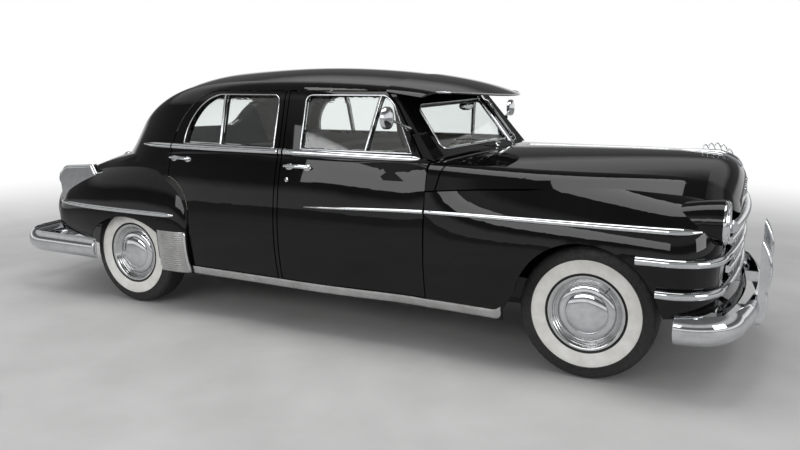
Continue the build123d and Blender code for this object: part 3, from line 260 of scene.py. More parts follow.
cast_iron = material(
    "cast_iron", (0.08, 0.078, 0.074), 0.7, tint=(11.0, (0.05, 0.05, 0.048), (0.12, 0.108, 0.095), 6.0),
    gloss=(40.0, 0.6, 0.85), relief=(260.0, 4.0, 0.3, 0.0012))
steel = material(
    "weathered_steel", (0.18, 0.165, 0.15), 0.5, 0.7,
    tint=(16.0, (0.12, 0.095, 0.075), (0.24, 0.235, 0.225), 6.0),
    gloss=(30.0, 0.38, 0.72), relief=(180.0, 4.0, 0.2, 0.0008))
floor_near, floor_far = 3.4, 9.0    # distances between which the floor turns white


def pale_floor():
    """Pale floor that turns plain white away from the car."""
    surface = Surface("pale_floor", (0.47, 0.465, 0.46), 0.7,
                      tint=(1.6, (0.44, 0.435, 0.43), (0.50, 0.495, 0.49), 6.0),
                      gloss=(6.0, 0.55, 0.8), relief=(60.0, 4.0, 0.04, 0.001))
    tree = surface.tree
    distance = add_node(tree, "ShaderNodeVectorMath", operation="LENGTH")
    surface.link(surface.place, distance.inputs[0])
    spread = add_node(tree, "ShaderNodeMapRange", {"From Min": floor_near, "From Max": floor_far},
                      interpolation_type="SMOOTHSTEP")
    surface.link(distance.outputs["Value"], spread.inputs["Value"])
    share = combined(tree, "MULTIPLY", seen_directly(tree), spread.outputs["Result"])
    glow = add_node(tree, "ShaderNodeEmission").outputs["Emission"]
    blend = mixed(tree, share, surface.shader.outputs["BSDF"], glow)
    surface.link(blend, tree.nodes["Material Output"].inputs["Surface"])
    return surface.material


floor_material = pale_floor()

slot_material = {
    "body_black": black_enamel, "chrome": chrome_plate, "underbody": chassis_paint,
    "glass": window_glass, "tyre": tyre_rubber, "wheel": wheel_enamel, "seat_cloth": seat_wool,
    "interior": dash_enamel, "wheel_plastic": wheel_plastic, "lens": lamp_glass,
    "iron": cast_iron, "steel": steel,
}
for part in frame["record"]["subparts"]:
    mesh = frame["nodes"][part["node"]].data
    mesh.materials.clear()
    mesh.materials.append(slot_material[part["material_slot"]])


# Mesh helpers

def rework(mesh, merge=False, marks=()):
    """Give faces their material numbers, merge points that coincide and turn all normals outwards."""
    work = bmesh.new()
    work.from_mesh(mesh)
    work.faces.ensure_lookup_table()
    for face, mark in zip(work.faces, marks):
        face.material_index = mark
    if merge:
        bmesh.ops.remove_doubles(work, verts=work.verts, dist=1e-6)
        bmesh.ops.dissolve_degenerate(work, edges=work.edges, dist=1e-7)
    bmesh.ops.recalc_face_normals(work, faces=work.faces)
    work.to_mesh(mesh)
    work.free()


def add_piece(name, points, faces, materials=(chrome_plate,), body="body", sharp=35.0,
              merge=False, marks=()):
    """Mesh object in some materials, riding on a body."""
    mesh = bpy.data.meshes.new(name)
    mesh.from_pydata([tuple(p) for p in points], [], faces)
    rework(mesh, merge, marks)
    for item in materials:
        mesh.materials.append(item)
    mesh.shade_smooth()
    mesh.set_sharp_from_angle(angle=math.radians(sharp))
    piece = bpy.data.objects.new(name, mesh)
    scene.collection.objects.link(piece)
    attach(piece, body)
    return piece


def grid_faces(rows, columns, close_rows=False, close_columns=False, base=0):
    """Quads of a grid of points stored row by row."""
    faces = []
    for i in range(rows if close_rows else rows - 1):
        for j in range(columns if close_columns else columns - 1):
            a = base + i * columns + j
            b = base + i * columns + (j + 1) % columns
            c = base + (i + 1) % rows * columns + (j + 1) % columns
            d = base + (i + 1) % rows * columns + j
            faces.append((a, b, c, d))
    return faces


def tube_faces(rows, columns, loop=False):
    """Faces of a tube of closed rows, capped at both ends unless it runs round in a loop."""
    faces = grid_faces(rows, columns, close_rows=loop, close_columns=True)
    if not loop:
        faces.append(tuple(range(columns)))
        faces.append(tuple((rows - 1) * columns + j for j in reversed(range(columns))))
    return faces


def sweep(name, path, outward, profile, material=chrome_plate, body="body", loop=False,
          scales=None, sharp=35.0):
    """Profile carried along a path. Its columns are distance across the path and distance outwards."""
    count = len(path)
    points = []
    for i, (place, out) in enumerate(zip(path, outward)):
        before = path[i - 1] if i > 0 or loop else path[i]
        after = path[(i + 1) % count] if i < count - 1 or loop else path[i]
        along = (after - before).normalized()
        out = (out - along * out.dot(along)).normalized()
        across = out.cross(along)
        scale = scales[i] if scales else (1.0, 1.0)
        for a, b in profile:
            points.append(place + across * a * scale[0] + out * b * scale[1])
    return add_piece(name, points, tube_faces(count, len(profile), loop), [material], body, sharp)


def half_round(width, height, steps=8, foot=0.0):
    """Closed bead profile: a flat foot and a rounded crown."""
    points = [(-width / 2, -foot)]
    for i in range(steps + 1):
        angle = math.pi * (1 - i / steps)
        points.append((width / 2 * math.cos(angle), height * math.sin(angle)))
    points.append((width / 2, -foot))
    return points


def oval(half_width, half_height, steps):
    """Oval profile."""
    return [(half_width * math.cos(2 * math.pi * k / steps), half_height * math.sin(2 * math.pi * k / steps))
            for k in range(steps)]


def arc(a, mid, b, steps):
    """Points on the circle through three points of a plane, from a to b."""
    (ax, ay), (bx, by), (cx, cy) = a, mid, b
    d = 2 * (ax * (by - cy) + bx * (cy - ay) + cx * (ay - by))
    ux = ((ax**2 + ay**2) * (by - cy) + (bx**2 + by**2) * (cy - ay) + (cx**2 + cy**2) * (ay - by)) / d
    uy = ((ax**2 + ay**2) * (cx - bx) + (bx**2 + by**2) * (ax - cx) + (cx**2 + cy**2) * (bx - ax)) / d
    radius = math.hypot(ax - ux, ay - uy)
    start, middle, end = (math.atan2(y - uy, x - ux) for x, y in (a, mid, b))
    turn = (end - start) % (2 * math.pi)
    if (middle - start) % (2 * math.pi) > turn:
        turn -= 2 * math.pi
    return [(ux + radius * math.cos(start + turn * i / steps), uy + radius * math.sin(start + turn * i / steps))
            for i in range(steps + 1)]


def run(a, b, steps):
    """Evenly spaced points from a to b."""
    return [tuple(p + (q - p) * i / steps for p, q in zip(a, b)) for i in range(steps + 1)]


def clamped(value):
    return max(0.0, min(1.0, value))


def mirrored(place, side):
    """Place on the left, or its image on the right."""
    return Vector((place[0], side * place[1], place[2]))


def spaced(a, b, steps):
    """Evenly spaced values from a to b."""
    return [a + (b - a) * i / steps for i in range(steps + 1)]


def tree_of(*nodes):
    """Search tree over the meshes of some nodes."""
    points, faces = [], []
    for node in nodes:
        mesh = frame["nodes"][node].data
        base = len(points)
        points.extend(v.co.copy() for v in mesh.vertices)
        faces.extend(tuple(base + i for i in p.vertices) for p in mesh.polygons)
    return BVHTree.FromPolygons(points, faces)


beside = 1.3             # start of the rays that look for the car's side
same_place = 5e-4        # points nearer than this count as one


def on_side(tree, x, z, side, start=beside):
    """Point and outward normal of the car's side surface at x and z, seen from start."""
    place, normal, _, _ = tree.ray_cast(Vector((x, side * start, z)), Vector((0, -side, 0)), start)
    if place is None:
        return None, None
    if normal.y * side < 0:
        normal = -normal
    return place, normal


def laid_on_side(tree, outline, side, start=beside, loop=False):
    """Side-view points projected onto the surface, with normals averaged over their neighbours."""
    hits = [on_side(tree, x, z, side, start) for x, z in outline]
    hits = [hit for hit in hits if hit[0] is not None]
    places, normals = [], []
    for i, (place, _) in enumerate(hits):
        if places and (place - places[-1]).length < same_place:
            continue
        reach = range(i - 2, i + 3)
        near = [hits[j % len(hits)][1] for j in reach if loop or 0 <= j < len(hits)]
        places.append(place)
        normals.append(sum(near, Vector()).normalized())
    if loop and (places[0] - places[-1]).length < same_place:
        places.pop()
        normals.pop()
    return places, normals


def moulding(name, tree, outline, side, widths, rise, body="body", taper=(0, 0), start=beside, loop=False,
             smallest=0.3):
    """Bright moulding laid on the side; taper is the number of points over which each end narrows."""
    path, outward = laid_on_side(tree, outline, side, start, loop)
    scales = []
    last = len(path) - 1
    for i in range(len(path)):
        size = 1.0
        for reach, steps in zip(taper, (i, last - i)):
            if steps < reach:
                size = min(size, smallest + (1 - smallest) * math.sin(math.pi / 2 * steps / reach))
        width = widths[0] + (widths[1] - widths[0]) * i / max(1, last)
        scales.append((size * width / widths[0], size))
    profile = half_round(widths[0], rise, foot=0.002)
    return sweep(name, path, outward, profile, body=body, loop=loop, scales=scales)


rib_height = 0.0035
fender_y = 0.93          # half-width about which the nearest point is looked for off the sheet's edge


def plate(name, tree, stations, side, rise, flat=False, ribs=0):
    """Aluminium sheet laid on the side. Its stations hold x, low z, high z where it is flat across, and
    z, low x, high x where it follows the surface and may carry ribs along x."""
    points = []
    across = 9
    for number, (at, low, high) in enumerate(stations):
        middle, slope = on_side(tree, at, (low + high) / 2, side) if flat else (None, None)
        rib = rib_height * abs(math.sin(math.pi * ribs * number / (len(stations) - 1))) if ribs else 0.0
        outer, inner = [], []
        for k in range(across):
            t = k / (across - 1)
            free = low + (high - low) * t
            if flat:
                drop = free - middle.z
                place, normal = Vector((at, middle.y - slope.z / slope.y * drop, free)), slope
            else:
                place, normal = on_side(tree, free, at, side)
                if place is None:
                    near, normal, _, _ = tree.find_nearest(Vector((free, side * fender_y, at)))
                    place = Vector((free, near.y, at))
            edge = min(t, 1 - t)
            outer.append(place + normal * (rise * min(1.0, 0.35 + 4 * edge) + rib * min(1.0, 6 * edge)))
            inner.append(place - normal * 0.001)
        points.extend(outer + inner[::-1])
    return add_piece(name, points, tube_faces(len(stations), 2 * across), [aluminium])


def turned(name, outline, place, axis, segments, materials=(chrome_plate,), body="body",
           closed=False, squeeze=(1.0, 1.0), wobble=None, sharp=35.0):
    """Turned piece. The outline's columns are radius, distance along the axis and, where the piece has
    more than one material, the number of the next band's."""
    axis = axis.normalized()
    up = ahead if abs(axis.z) > 0.99 else upward
    first = up.cross(axis).normalized()
    second = axis.cross(first)
    points, faces, marks = [], [], []
    count = len(outline)
    for k in range(segments):
        angle = 2 * math.pi * k / segments
        for number, (radius, out, *_) in enumerate(outline):
            extra, shift = wobble(number, k) if wobble else (0.0, 0.0)
            spread = radius + extra
            points.append(place + axis * (out + shift) + first * spread * squeeze[0] * math.cos(angle)
                          + second * spread * squeeze[1] * math.sin(angle))
    for k in range(segments):
        m = (k + 1) % segments
        for j in range(count if closed else count - 1):
            n = (j + 1) % count
            faces.append((k * count + j, k * count + n, m * count + n, m * count + j))
            marks.append(outline[j][2] if len(outline[j]) > 2 else 0)
    return add_piece(name, points, faces, materials, body, sharp, merge=True, marks=marks)


def bar(name, points, outward, size, material=chrome_plate, body="body", scales=None,
        loop=False):
    """Round or oval bar along free points; size is its width and height."""
    profile = oval(size[0] / 2, size[1] / 2, 12)
    return sweep(name, points, [outward] * len(points), profile, material, body, loop, scales)


# Search trees of the painted panels
skins = {}
for side, word in side_names.items():
    for panel in ("door_front", "door_rear", "fender_front", "fender_rear"):
        skins[side, panel] = tree_of(f"{panel}_{word}")
    skins[side, "body"] = tree_of("body_shell")
    skins[side, "sill"] = tree_of("body_shell", f"fender_front_{word}")


def body_for(panel, side):
    """Body that a panel belongs to."""
    return f"{panel}_{side_names[side]}" if panel.startswith("door") else "body"


# Wheels and tyres
wheel_centres = {}
for side, word in side_names.items():
    for end in ends:
        low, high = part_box(f"tyre_{end}_{word}")
        wheel_centres[end, side] = (low + high) / 2

black, band = 0, 1
# Half of the tyre from the bead to the tread: radius, distance out, material
tyre_half = [
    (0.1925, 0.071, black), (0.206, 0.0755, black), (0.2085, 0.082, black), (0.214, 0.0845, black),
    (0.2155, 0.0868, band), (0.240, 0.0925, band), (0.264, 0.0965, band), (0.2855, 0.0972, band),
    (0.2875, 0.0965, black), (0.2895, 0.0985, black), (0.293, 0.0985, black), (0.2955, 0.0965, black),
    (0.322, 0.0920, black), (0.340, 0.0845, black), (0.3445, 0.0830, black), (0.3450, 0.0800, black),
    (0.3525, 0.0740, black),
]
grooves = (0.052, 0.018, -0.018, -0.052)
groove_width = 0.006
groove_depth = 0.007
tread_radius = 0.359
tread_zigzag = 0.0032
crown_drop, crown_half = 0.0035, 0.07
shoulder_notch = 0.003
tyre_segments = 144


def tyre_outline():
    """Outline from bead to bead over the grooved tread, and the rows that zigzag."""
    outline = list(tyre_half)
    zigzags = set()
    for groove in grooves:
        for out, deep in ((groove_width / 2, 0.0), (groove_width / 3, groove_depth),
                          (-groove_width / 3, groove_depth), (-groove_width / 2, 0.0)):
            crown = tread_radius - crown_drop * abs((groove + out) / crown_half)**2
            zigzags.add(len(outline))
            outline.append((crown - deep, groove + out, black))
    for radius, out, _ in reversed(tyre_half):
        outline.append((radius, -out, black))
    return outline, zigzags


tyre_profile, zigzags = tyre_outline()
shoulder_rows = (14, 15, len(tyre_profile) - 16, len(tyre_profile) - 15)


def tread_wobble(number, k):
    """Change of radius and shift along the axle at a row of the outline and a step round the tyre."""
    if number in zigzags:
        return 0.0, tread_zigzag * (1, 0, -1, 0)[k % 4]
    if number in shoulder_rows and k % 4 == 0:
        return -shoulder_notch, 0.0
    return 0.0, 0.0


barrel, trim, cap = 0, 1, 2
# Cap, trim ring and rim from the middle outwards and back behind: radius, distance out, material
wheel_outline = [
    (0.0, 0.0900, cap), (0.030, 0.0895, cap), (0.058, 0.0875, cap), (0.080, 0.0840, cap),
    (0.098, 0.0785, cap), (0.108, 0.0735, cap), (0.1125, 0.0700, cap), (0.1135, 0.0672, cap),
    (0.1160, 0.0668, cap), (0.1180, 0.0690, cap), (0.1300, 0.0672, cap), (0.1400, 0.0640, cap),
    (0.1475, 0.0600, cap), (0.1500, 0.0560, cap), (0.1500, 0.0500, trim), (0.1520, 0.0490, trim),
    (0.1540, 0.0560, trim), (0.1580, 0.0585, trim), (0.1605, 0.0580, trim), (0.1620, 0.0610, trim),
    (0.1665, 0.0635, trim), (0.1685, 0.0625, trim), (0.1705, 0.0660, trim), (0.1755, 0.0700, trim),
    (0.1775, 0.0690, trim), (0.1800, 0.0740, trim), (0.1880, 0.0820, trim), (0.1960, 0.0858, trim),
    (0.2020, 0.0850, trim), (0.2042, 0.0815, barrel), (0.2030, 0.0770, barrel), (0.1920, 0.0735, barrel),
    (0.1920, -0.0735, barrel), (0.2030, -0.0750, barrel), (0.2030, -0.0810, barrel), (0.1970, -0.0810, barrel),
    (0.1850, -0.0750, barrel), (0.1680, -0.0300, barrel), (0.1680, 0.0140, barrel), (0.0600, 0.0160, barrel),
    (0.0520, -0.0060, barrel), (0.0225, -0.0060, barrel), (0.0225, 0.0320, barrel), (0.0, 0.0320, barrel),
]
valve_radius = 0.163
valve_turn = math.radians(52)
valve_outline = [(0.0, 0.060), (0.0045, 0.060), (0.0045, 0.074), (0.0032, 0.078), (0.0032, 0.088),
                 (0.0, 0.0885)]

for (end, side), centre in wheel_centres.items():
    word = side_names[side]
    out = Vector((0, side, 0))
    body = f"wheel_{end}_{word}"
    tyre = turned(f"tyre_{end}_{word}_rubber", tyre_profile, centre, out, tyre_segments,
                  [tyre_rubber, whitewall], body, closed=True, wobble=tread_wobble)
    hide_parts(f"tyre_{end}_{word}")
    wheel = turned(f"wheel_{end}_{word}_disc", wheel_outline, centre, out, 96,
                   [wheel_enamel, polished_steel, chrome_plate], body, sharp=50.0)
    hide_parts(f"wheel_{end}_{word}")
    foot = centre + Vector((valve_radius * math.cos(valve_turn), 0, valve_radius * math.sin(valve_turn)))
    turned(f"valve_{end}_{word}", valve_outline, foot, out, 16, [tyre_rubber], body)

# Side mouldings
# name, panel, start x and z, end x and z, width at start and end, rise, points that narrow at each end
side_mouldings = [
    ("belt_quarter", "body", -1.327, 1.125, -0.995, 1.128, 0.034, 0.036, 0.011, 7, 0),
    ("belt_rear_door", "door_rear", -0.983, 1.128, -0.090, 1.131, 0.036, 0.036, 0.011, 0, 0),
    ("belt_post", "body", -0.079, 1.131, -0.058, 1.131, 0.037, 0.037, 0.013, 0, 0),
    ("belt_front_door", "door_front", -0.047, 1.131, 0.904, 1.122, 0.036, 0.036, 0.011, 0, 2),
    ("spear_door", "door_front", 0.141, 0.816, 0.915, 0.843, 0.014, 0.022, 0.008, 6, 0),
    ("spear_fender", "fender_front", 0.929, 0.844, 2.338, 0.848, 0.022, 0.038, 0.012, 0, 4),
    ("spear_quarter", "fender_rear", -2.105, 0.682, -0.885, 0.682, 0.030, 0.038, 0.014, 10, 4),
]
for side, word in side_names.items():
    for name, panel, x0, z0, x1, z1, width0, width1, rise, narrow0, narrow1 in side_mouldings:
        steps = max(3, round(abs(x1 - x0) / 0.025))
        moulding(f"{name}_{word}", skins[side, panel], run((x0, z0), (x1, z1), steps), side,
                 (width0, width1), rise, body_for(panel, side), taper=(narrow0, narrow1))

# Ferrules at the joint of the belt moulding beside the post
ferrules = [("door_front", -0.045, -0.030), ("door_rear", -0.104, -0.092)]
for side, word in side_names.items():
    for number, (panel, x0, x1) in enumerate(ferrules):
        moulding(f"belt_ferrule_{number}_{word}", skins[side, panel], run((x0, 1.1305), (x1, 1.1305), 4), side,
                 (0.040, 0.040), 0.014, body_for(panel, side), taper=(1, 1), smallest=0.7)

# Rocker moulding: body and fender share it
rocker_low, rocker_high = 0.289, 0.341
rocker_x = (-0.794, 1.330)
# x, low z, high z of its turned-up front end
rocker_nose = [(1.345, 0.290, 0.345), (1.358, 0.294, 0.352), (1.368, 0.304, 0.360), (1.376, 0.322, 0.366)]
for side, word in side_names.items():
    stations = [(x, rocker_low, rocker_high) for x in spaced(*rocker_x, 90)]
    plate(f"rocker_{word}", skins[side, "sill"], stations + rocker_nose, side, 0.007, flat=True)

# Stone guards ahead of the rear wheels
guard_x = (-1.036, -0.815)
guard_z = (0.292, 0.574)
guard_ribs = 19
for side, word in side_names.items():
    rows = guard_ribs * 6
    stations = [(guard_z[0] + (guard_z[1] - guard_z[0]) * k / rows, *guard_x) for k in range(rows + 1)]
    plate(f"stone_guard_{word}", skins[side, "fender_rear"], stations, side, 0.002, ribs=guard_ribs)
    moulding(f"stone_guard_bead_{word}", skins[side, "fender_rear"],
             run((-0.806, guard_z[0]), (-0.806, guard_z[1]), 24), side, (0.020, 0.020), 0.010, taper=(2, 2))


# Fillers that carry each rear fender on to its wheel opening, behind the wheel
filler_low, filler_high = 0.4545, 0.573
opening_x, opening_corner_z = -1.715, 0.470
opening_middle, opening_radius = (-1.330, 0.1125), 0.5254
filler_rows, filler_columns = 22, 10
overlap, filler_wall, search_step = 0.004, 0.004, 0.001
filler_rise = 0.0004
search_x = (-1.80, -1.70)


def opening_edge(z):
    """x of the wheel opening's rear edge: upright, then along the arch."""
    if z < opening_corner_z:
        return opening_x
    return opening_middle[0] - math.sqrt(opening_radius**2 - (z - opening_middle[1])**2)


def filler(side):
    """Sheet from the fender's surface to the opening's edge, its depth carried on by a parabola."""
    tree = skins[side, "fender_rear"]

    def depth(x, z):
        """y of the fender's surface, or None where there is none."""
        hit = tree.ray_cast(Vector((x, side * beside, z)), Vector((0, -side, 0)), 0.5)[0]
        return None if hit is None else hit.y

    outer, inner = [], []
    for z in spaced(filler_low, filler_high, filler_rows - 1):
        back = search_x[0]
        while depth(back + search_step, z) is not None and back < search_x[1]:
            back += search_step
        front = back + search_step
        while depth(front, z) is None and front < opening_edge(z):
            front += search_step
        front = min(front + overlap, opening_edge(z))
        known = [(x, depth(x, z)) for x in (back - 0.080, back - 0.040, back)]
        if None in [y for _, y in known] or front - back < 2 * search_step:
            continue
        (x0, y0), (x1, y1), (x2, y2) = known
        for x in spaced(back - overlap, front, filler_columns - 1):
            y = depth(x, z)
            if y is None:
                y = (y0 * (x - x1) * (x - x2) / ((x0 - x1) * (x0 - x2))
                     + y1 * (x - x0) * (x - x2) / ((x1 - x0) * (x1 - x2))
                     + y2 * (x - x0) * (x - x1) / ((x2 - x0) * (x2 - x1)))
            outer.append(Vector((x, y + side * filler_rise, z)))
            inner.append(Vector((x, y - side * filler_wall, z)))
    count = len(outer)
    rows = count // filler_columns
    faces = grid_faces(rows, filler_columns)
    faces += [tuple(count + i for i in reversed(face)) for face in grid_faces(rows, filler_columns)]
    rim = list(range(filler_columns)) + [r * filler_columns + filler_columns - 1 for r in range(1, rows)]
    rim += [(rows - 1) * filler_columns + k for k in reversed(range(filler_columns - 1))]
    rim += [r * filler_columns for r in reversed(range(1, rows - 1))]
    faces += [(a, b, count + b, count + a) for a, b in zip(rim, rim[1:] + rim[:1])]
    add_piece(f"arch_filler_{side_names[side]}", outer + inner, faces, [black_enamel],
              sharp=50.0)


for side in side_names:
    filler(side)


# Bumper ends: a shallow cap closes the open end of each section

def end_cap(name, node, forward, side):
    """Cap over the section of the bumper whose end looks forward (1) or back (-1)."""
    corners = [v.co for v in frame["nodes"][node].data.vertices if v.co.y * side > 0]
    end_x = max(forward * corner.x for corner in corners)
    spots = sorted({(round(corner.z, 4), round(corner.y * side, 4)) for corner in corners
                    if forward * corner.x > end_x - 0.0005})
    hull = []
    for z, y in spots:
        while len(hull) > 1 and ((hull[-1][0] - hull[-2][0]) * (y - hull[-2][1])
                                 >= (hull[-1][1] - hull[-2][1]) * (z - hull[-2][0])):
            hull.pop()
        hull.append((z, y))
    (low, low_y), (high, high_y) = hull[0], hull[-1]
    hull += [(high + (low - high) * k / 12, high_y + (low_y - high_y) * k / 12) for k in range(1, 12)]
    outline = [(side * y, z) for z, y in hull]
    middle = (side * ((low_y + high_y) / 2 + 0.018), (low + high) / 2)
    points, count = [], len(outline)
    for shift, share in ((-0.004, 0.97), (0.0002, 0.998), (0.0030, 0.97), (0.0060, 0.86), (0.0075, 0.55)):
        points += [Vector((forward * (end_x + shift), middle[0] + share * (y - middle[0]),
                           middle[1] + share * (z - middle[1]))) for y, z in outline]
    add_piece(name, points, tube_faces(5, count), sharp=50.0)


for side, word in side_names.items():
    end_cap(f"bumper_front_end_{word}", "bumper_front", -1, side)
    end_cap(f"bumper_rear_end_{word}", "bumper_rear", 1, side)


# Door handles

def handle(name, tree, x0, x1, z, side, body):
    """Pull handle on two feet, its thumb end at x0."""
    steps = 26
    places, normals = laid_on_side(tree, run((x0, z), (x1, z), steps), side)
    stand = 0.034
    path, scales = [], []
    for i, (place, normal) in enumerate(zip(places, normals)):
        t = i / steps
        lift = stand * (0.62 + 0.38 * math.sin(math.pi * clamped((t - 0.05) / 0.9)))
        path.append(place + normal * lift)
        size = 0.55 + 0.45 * math.sin(math.pi * (0.5 * t / 0.25)) if t < 0.25 else 1.0
        if t > 0.9:
            size = math.sqrt(max(0.04, 1 - ((t - 0.9) / 0.1)**2))
        scales.append((size, size))
    sweep(f"{name}_grip", path, normals, oval(0.0115, 0.0075, 14), body=body, scales=scales)
    for number, t in enumerate((0.16, 0.86)):
        i = round(t * steps)
        foot = [(0.0, -0.002), (0.019, -0.002), (0.0185, 0.002), (0.013, 0.005), (0.0085, 0.010),
                (0.007, 0.018), (0.008, 0.027), (0.0, 0.030)]
        turned(f"{name}_foot_{number}", foot, places[i], normals[i], 28, body=body,
               squeeze=(1.5, 1.0))


handle_places = [("door_front", -0.014, 0.173, 1.045), ("door_rear", -0.969, -0.782, 1.050)]
lock_outline = [(0.0, -0.002), (0.0135, -0.002), (0.0135, 0.003), (0.0105, 0.0055), (0.009, 0.0045),
                (0.0, 0.0050)]
for side, word in side_names.items():
    for panel, x0, x1, z in handle_places:
        handle(f"handle_{panel}_{word}", skins[side, panel], x0, x1, z, side, body_for(panel, side))
    place, normal = on_side(skins[side, "door_front"], 0.006, 0.968, side)
    turned(f"lock_{word}", lock_outline, place, normal, 24, body=f"door_front_{word}")


# Window reveals and division bars
window_low, window_top = 1.158, 1.462


def front_window(margin):
    """Outline of the front door's window, grown by margin."""
    low, top = window_low - margin, window_top + margin
    rear, front = 0.078 - margin, 0.795 + margin
    shoulder, crown = (front - 0.142, 1.410), (front - 0.220, top)
    return (run((rear, low), (front, low), 26) + run((front, low), shoulder, 12)
            + arc(shoulder, (front - 0.172, 1.442), crown, 7) + run(crown, (rear + 0.040, top), 14)
            + arc((rear + 0.040, top), (rear + 0.012, top - 0.012), (rear, top - 0.040), 6)
            + run((rear, top - 0.040), (rear, low), 10))


def rear_window(margin):
    """Outline of the rear door's window, grown by margin."""
    low, top = window_low - margin, window_top + margin
    front, rear = -0.132 + margin, -0.868 - margin
    return (run((front, low), (front, top - 0.040), 10)
            + arc((front, top - 0.040), (front - 0.012, top - 0.012), (front - 0.040, top), 6)
            + run((front - 0.040, top), (-0.600, top), 16)
            + arc((-0.600, top), (-0.790 - margin, 1.350 + margin), (rear, low), 18)
            + run((rear, low), (front, low), 26))


window_outlines = {"door_front": front_window, "door_rear": rear_window}
# Division bars: x at the sill and at the top
window_bars = {"door_front": (0.513, 0.563), "door_rear": (-0.550, -0.559)}
reveal_start = 0.955      # inside the door mirror
for side, word in side_names.items():
    for panel, outline in window_outlines.items():
        tree, body = skins[side, panel], body_for(panel, side)
        moulding(f"reveal_{panel}_{word}", tree, outline(0.007), side, (0.008, 0.008), 0.004, body,
                 start=reveal_start, loop=True)
        low, high = window_bars[panel]
        moulding(f"division_{panel}_{word}", tree,
                 run((low, window_low - 0.002), (high, window_top + 0.002), 14), side, (0.014, 0.014), 0.005,
                 body, start=reveal_start)

# Door mirrors
mirror_place = (0.751, 1.020, 1.355)
stalk_foot = (0.781, 0.826, 1.292)
# Shell from the glass forward over the domed back: radius, distance forward, material
mirror_outline = [
    (0.0, -0.0105, 1), (0.052, -0.0110, 1), (0.0535, -0.0125, 0), (0.0605, -0.0125, 0), (0.0615, -0.008, 0),
    (0.0615, 0.006, 0), (0.0585, 0.0125, 0), (0.048, 0.0165, 0), (0.030, 0.0200, 0), (0.012, 0.0215, 0),
    (0.0, 0.0218, 0),
]
for side, word in side_names.items():
    centre, foot = mirrored(mirror_place, side), mirrored(stalk_foot, side)
    turned(f"mirror_head_{word}", mirror_outline, centre, ahead, 64,
           [chrome_plate, chrome_plate], f"door_front_{word}")
    way = (foot - centre).normalized()
    path = [foot + way * 0.004 - way * t for t in (0.0, 0.06, 0.12, 0.165)]
    bar(f"mirror_stalk_{word}", path, ahead, (0.0145, 0.0145), body=f"door_front_{word}")
    ferrule = [(0.0, -0.010), (0.015, -0.010), (0.0145, 0.003), (0.011, 0.012), (0.009, 0.030), (0.0, 0.031)]
    turned(f"mirror_foot_{word}", ferrule, foot, -way, 28, body=f"door_front_{word}")

# Split windscreen: frames, centre post and wipers
screen_base = Vector((1.096, 0.0, 1.182))
screen_rake = 0.80
screen_up = Vector((-screen_rake, 0, 1)).normalized()
screen_edges = (0.020, 0.655, 0.022, 0.330)
screen_corner = 0.038
screen_outer = (0.905, 0.690, 1.148)    # outer lower corner of the left pane


def screen_axes(side):
    """Directions along the base, up the pane and out of it."""
    along = (mirrored(screen_outer, side) - screen_base).normalized()
    out = along.cross(screen_up).normalized()
    if out.x < 0:
        out = -out
    up = out.cross(along)
    return along, up if up.z > 0 else -up, out


def rounded_rectangle(edges, radius, margin, steps=7):
    """Corner-rounded outline, grown by margin, as points with straight runs between."""
    near, far, low, high = edges[0] - margin, edges[1] + margin, edges[2] - margin, edges[3] + margin
    radius += margin
    points = []
    for cx, cy, turn in ((far - radius, high - radius, 0), (near + radius, high - radius, 90),
                         (near + radius, low + radius, 180), (far - radius, low + radius, 270)):
        for k in range(steps + 1):
            angle = math.radians(turn + 90 * k / steps)
            points.append((cx + radius * math.cos(angle), cy + radius * math.sin(angle)))
    full = []
    for a, b in zip(points, points[1:] + points[:1]):
        gap = math.dist(a, b)
        full.extend(run(a, b, max(1, round(gap / 0.03)))[:-1])
    return full


for side, word in side_names.items():
    along, up, out = screen_axes(side)
    outline = rounded_rectangle(screen_edges, screen_corner, 0.004)
    path = [screen_base + along * u + up * w - out * 0.001 for u, w in outline]
    sweep(f"windscreen_frame_{word}", path, [out] * len(path), half_round(0.014, 0.007, foot=0.006), loop=True)
    gasket = [screen_base + along * u + up * w - out * 0.012
              for u, w in rounded_rectangle(screen_edges, screen_corner, -0.003)]
    sweep(f"windscreen_gasket_{word}", gasket, [out] * len(gasket), half_round(0.008, 0.004, foot=0.003),
          tyre_rubber, loop=True)
    pivot = screen_base + along * 0.150 - up * 0.012
    stub = [(0.0, -0.004), (0.016, -0.004), (0.015, 0.004), (0.009, 0.008), (0.008, 0.024), (0.0, 0.027)]
    turned(f"wiper_pivot_{word}", stub, pivot, out, 24)
    elbow = pivot + out * 0.024
    tip = screen_base + along * 0.385 + up * 0.052 + out * 0.014
    arm = [elbow + (tip - elbow) * t + out * 0.010 * math.sin(math.pi * t)
           for t in (0, 0.2, 0.4, 0.6, 0.8, 1.0)]
    bar(f"wiper_arm_{word}", arm, out, (0.007, 0.004))
    blade = [screen_base + along * u + up * (0.038 + 0.10 * (u - 0.25)) + out * 0.006
             for u in (0.25, 0.30, 0.36, 0.42, 0.48, 0.52)]
    bar(f"wiper_blade_{word}", blade, out, (0.005, 0.012))

post_out = Vector((1, 0, screen_rake)).normalized()
for number, offset in enumerate((-0.0105, 0.0105)):
    path = [screen_base + screen_up * w + Vector((0, offset, 0)) + post_out * 0.002
            for w in (-0.006, 0.09, 0.18, 0.27, 0.352)]
    sweep(f"windscreen_post_{number}", path, [post_out] * len(path), half_round(0.013, 0.010, foot=0.010))


# Linings: further materials on the inner faces of painted panels
belt_z = 1.140
cabin_low, cabin_high = (-1.33, -0.92, 0.47), (0.95, 0.92, 1.64)
cabin_mid_z = 1.15
heel_x = -0.80


def line_faces(node, material, chosen):
    """Give the faces that a test picks, by centre and normal, a further material."""
    mesh = frame["nodes"][node].data
    mesh.materials.append(material)
    index = len(mesh.materials) - 1
    for polygon in mesh.polygons:
        if chosen(polygon.center, polygon.normal):
            polygon.material_index = index


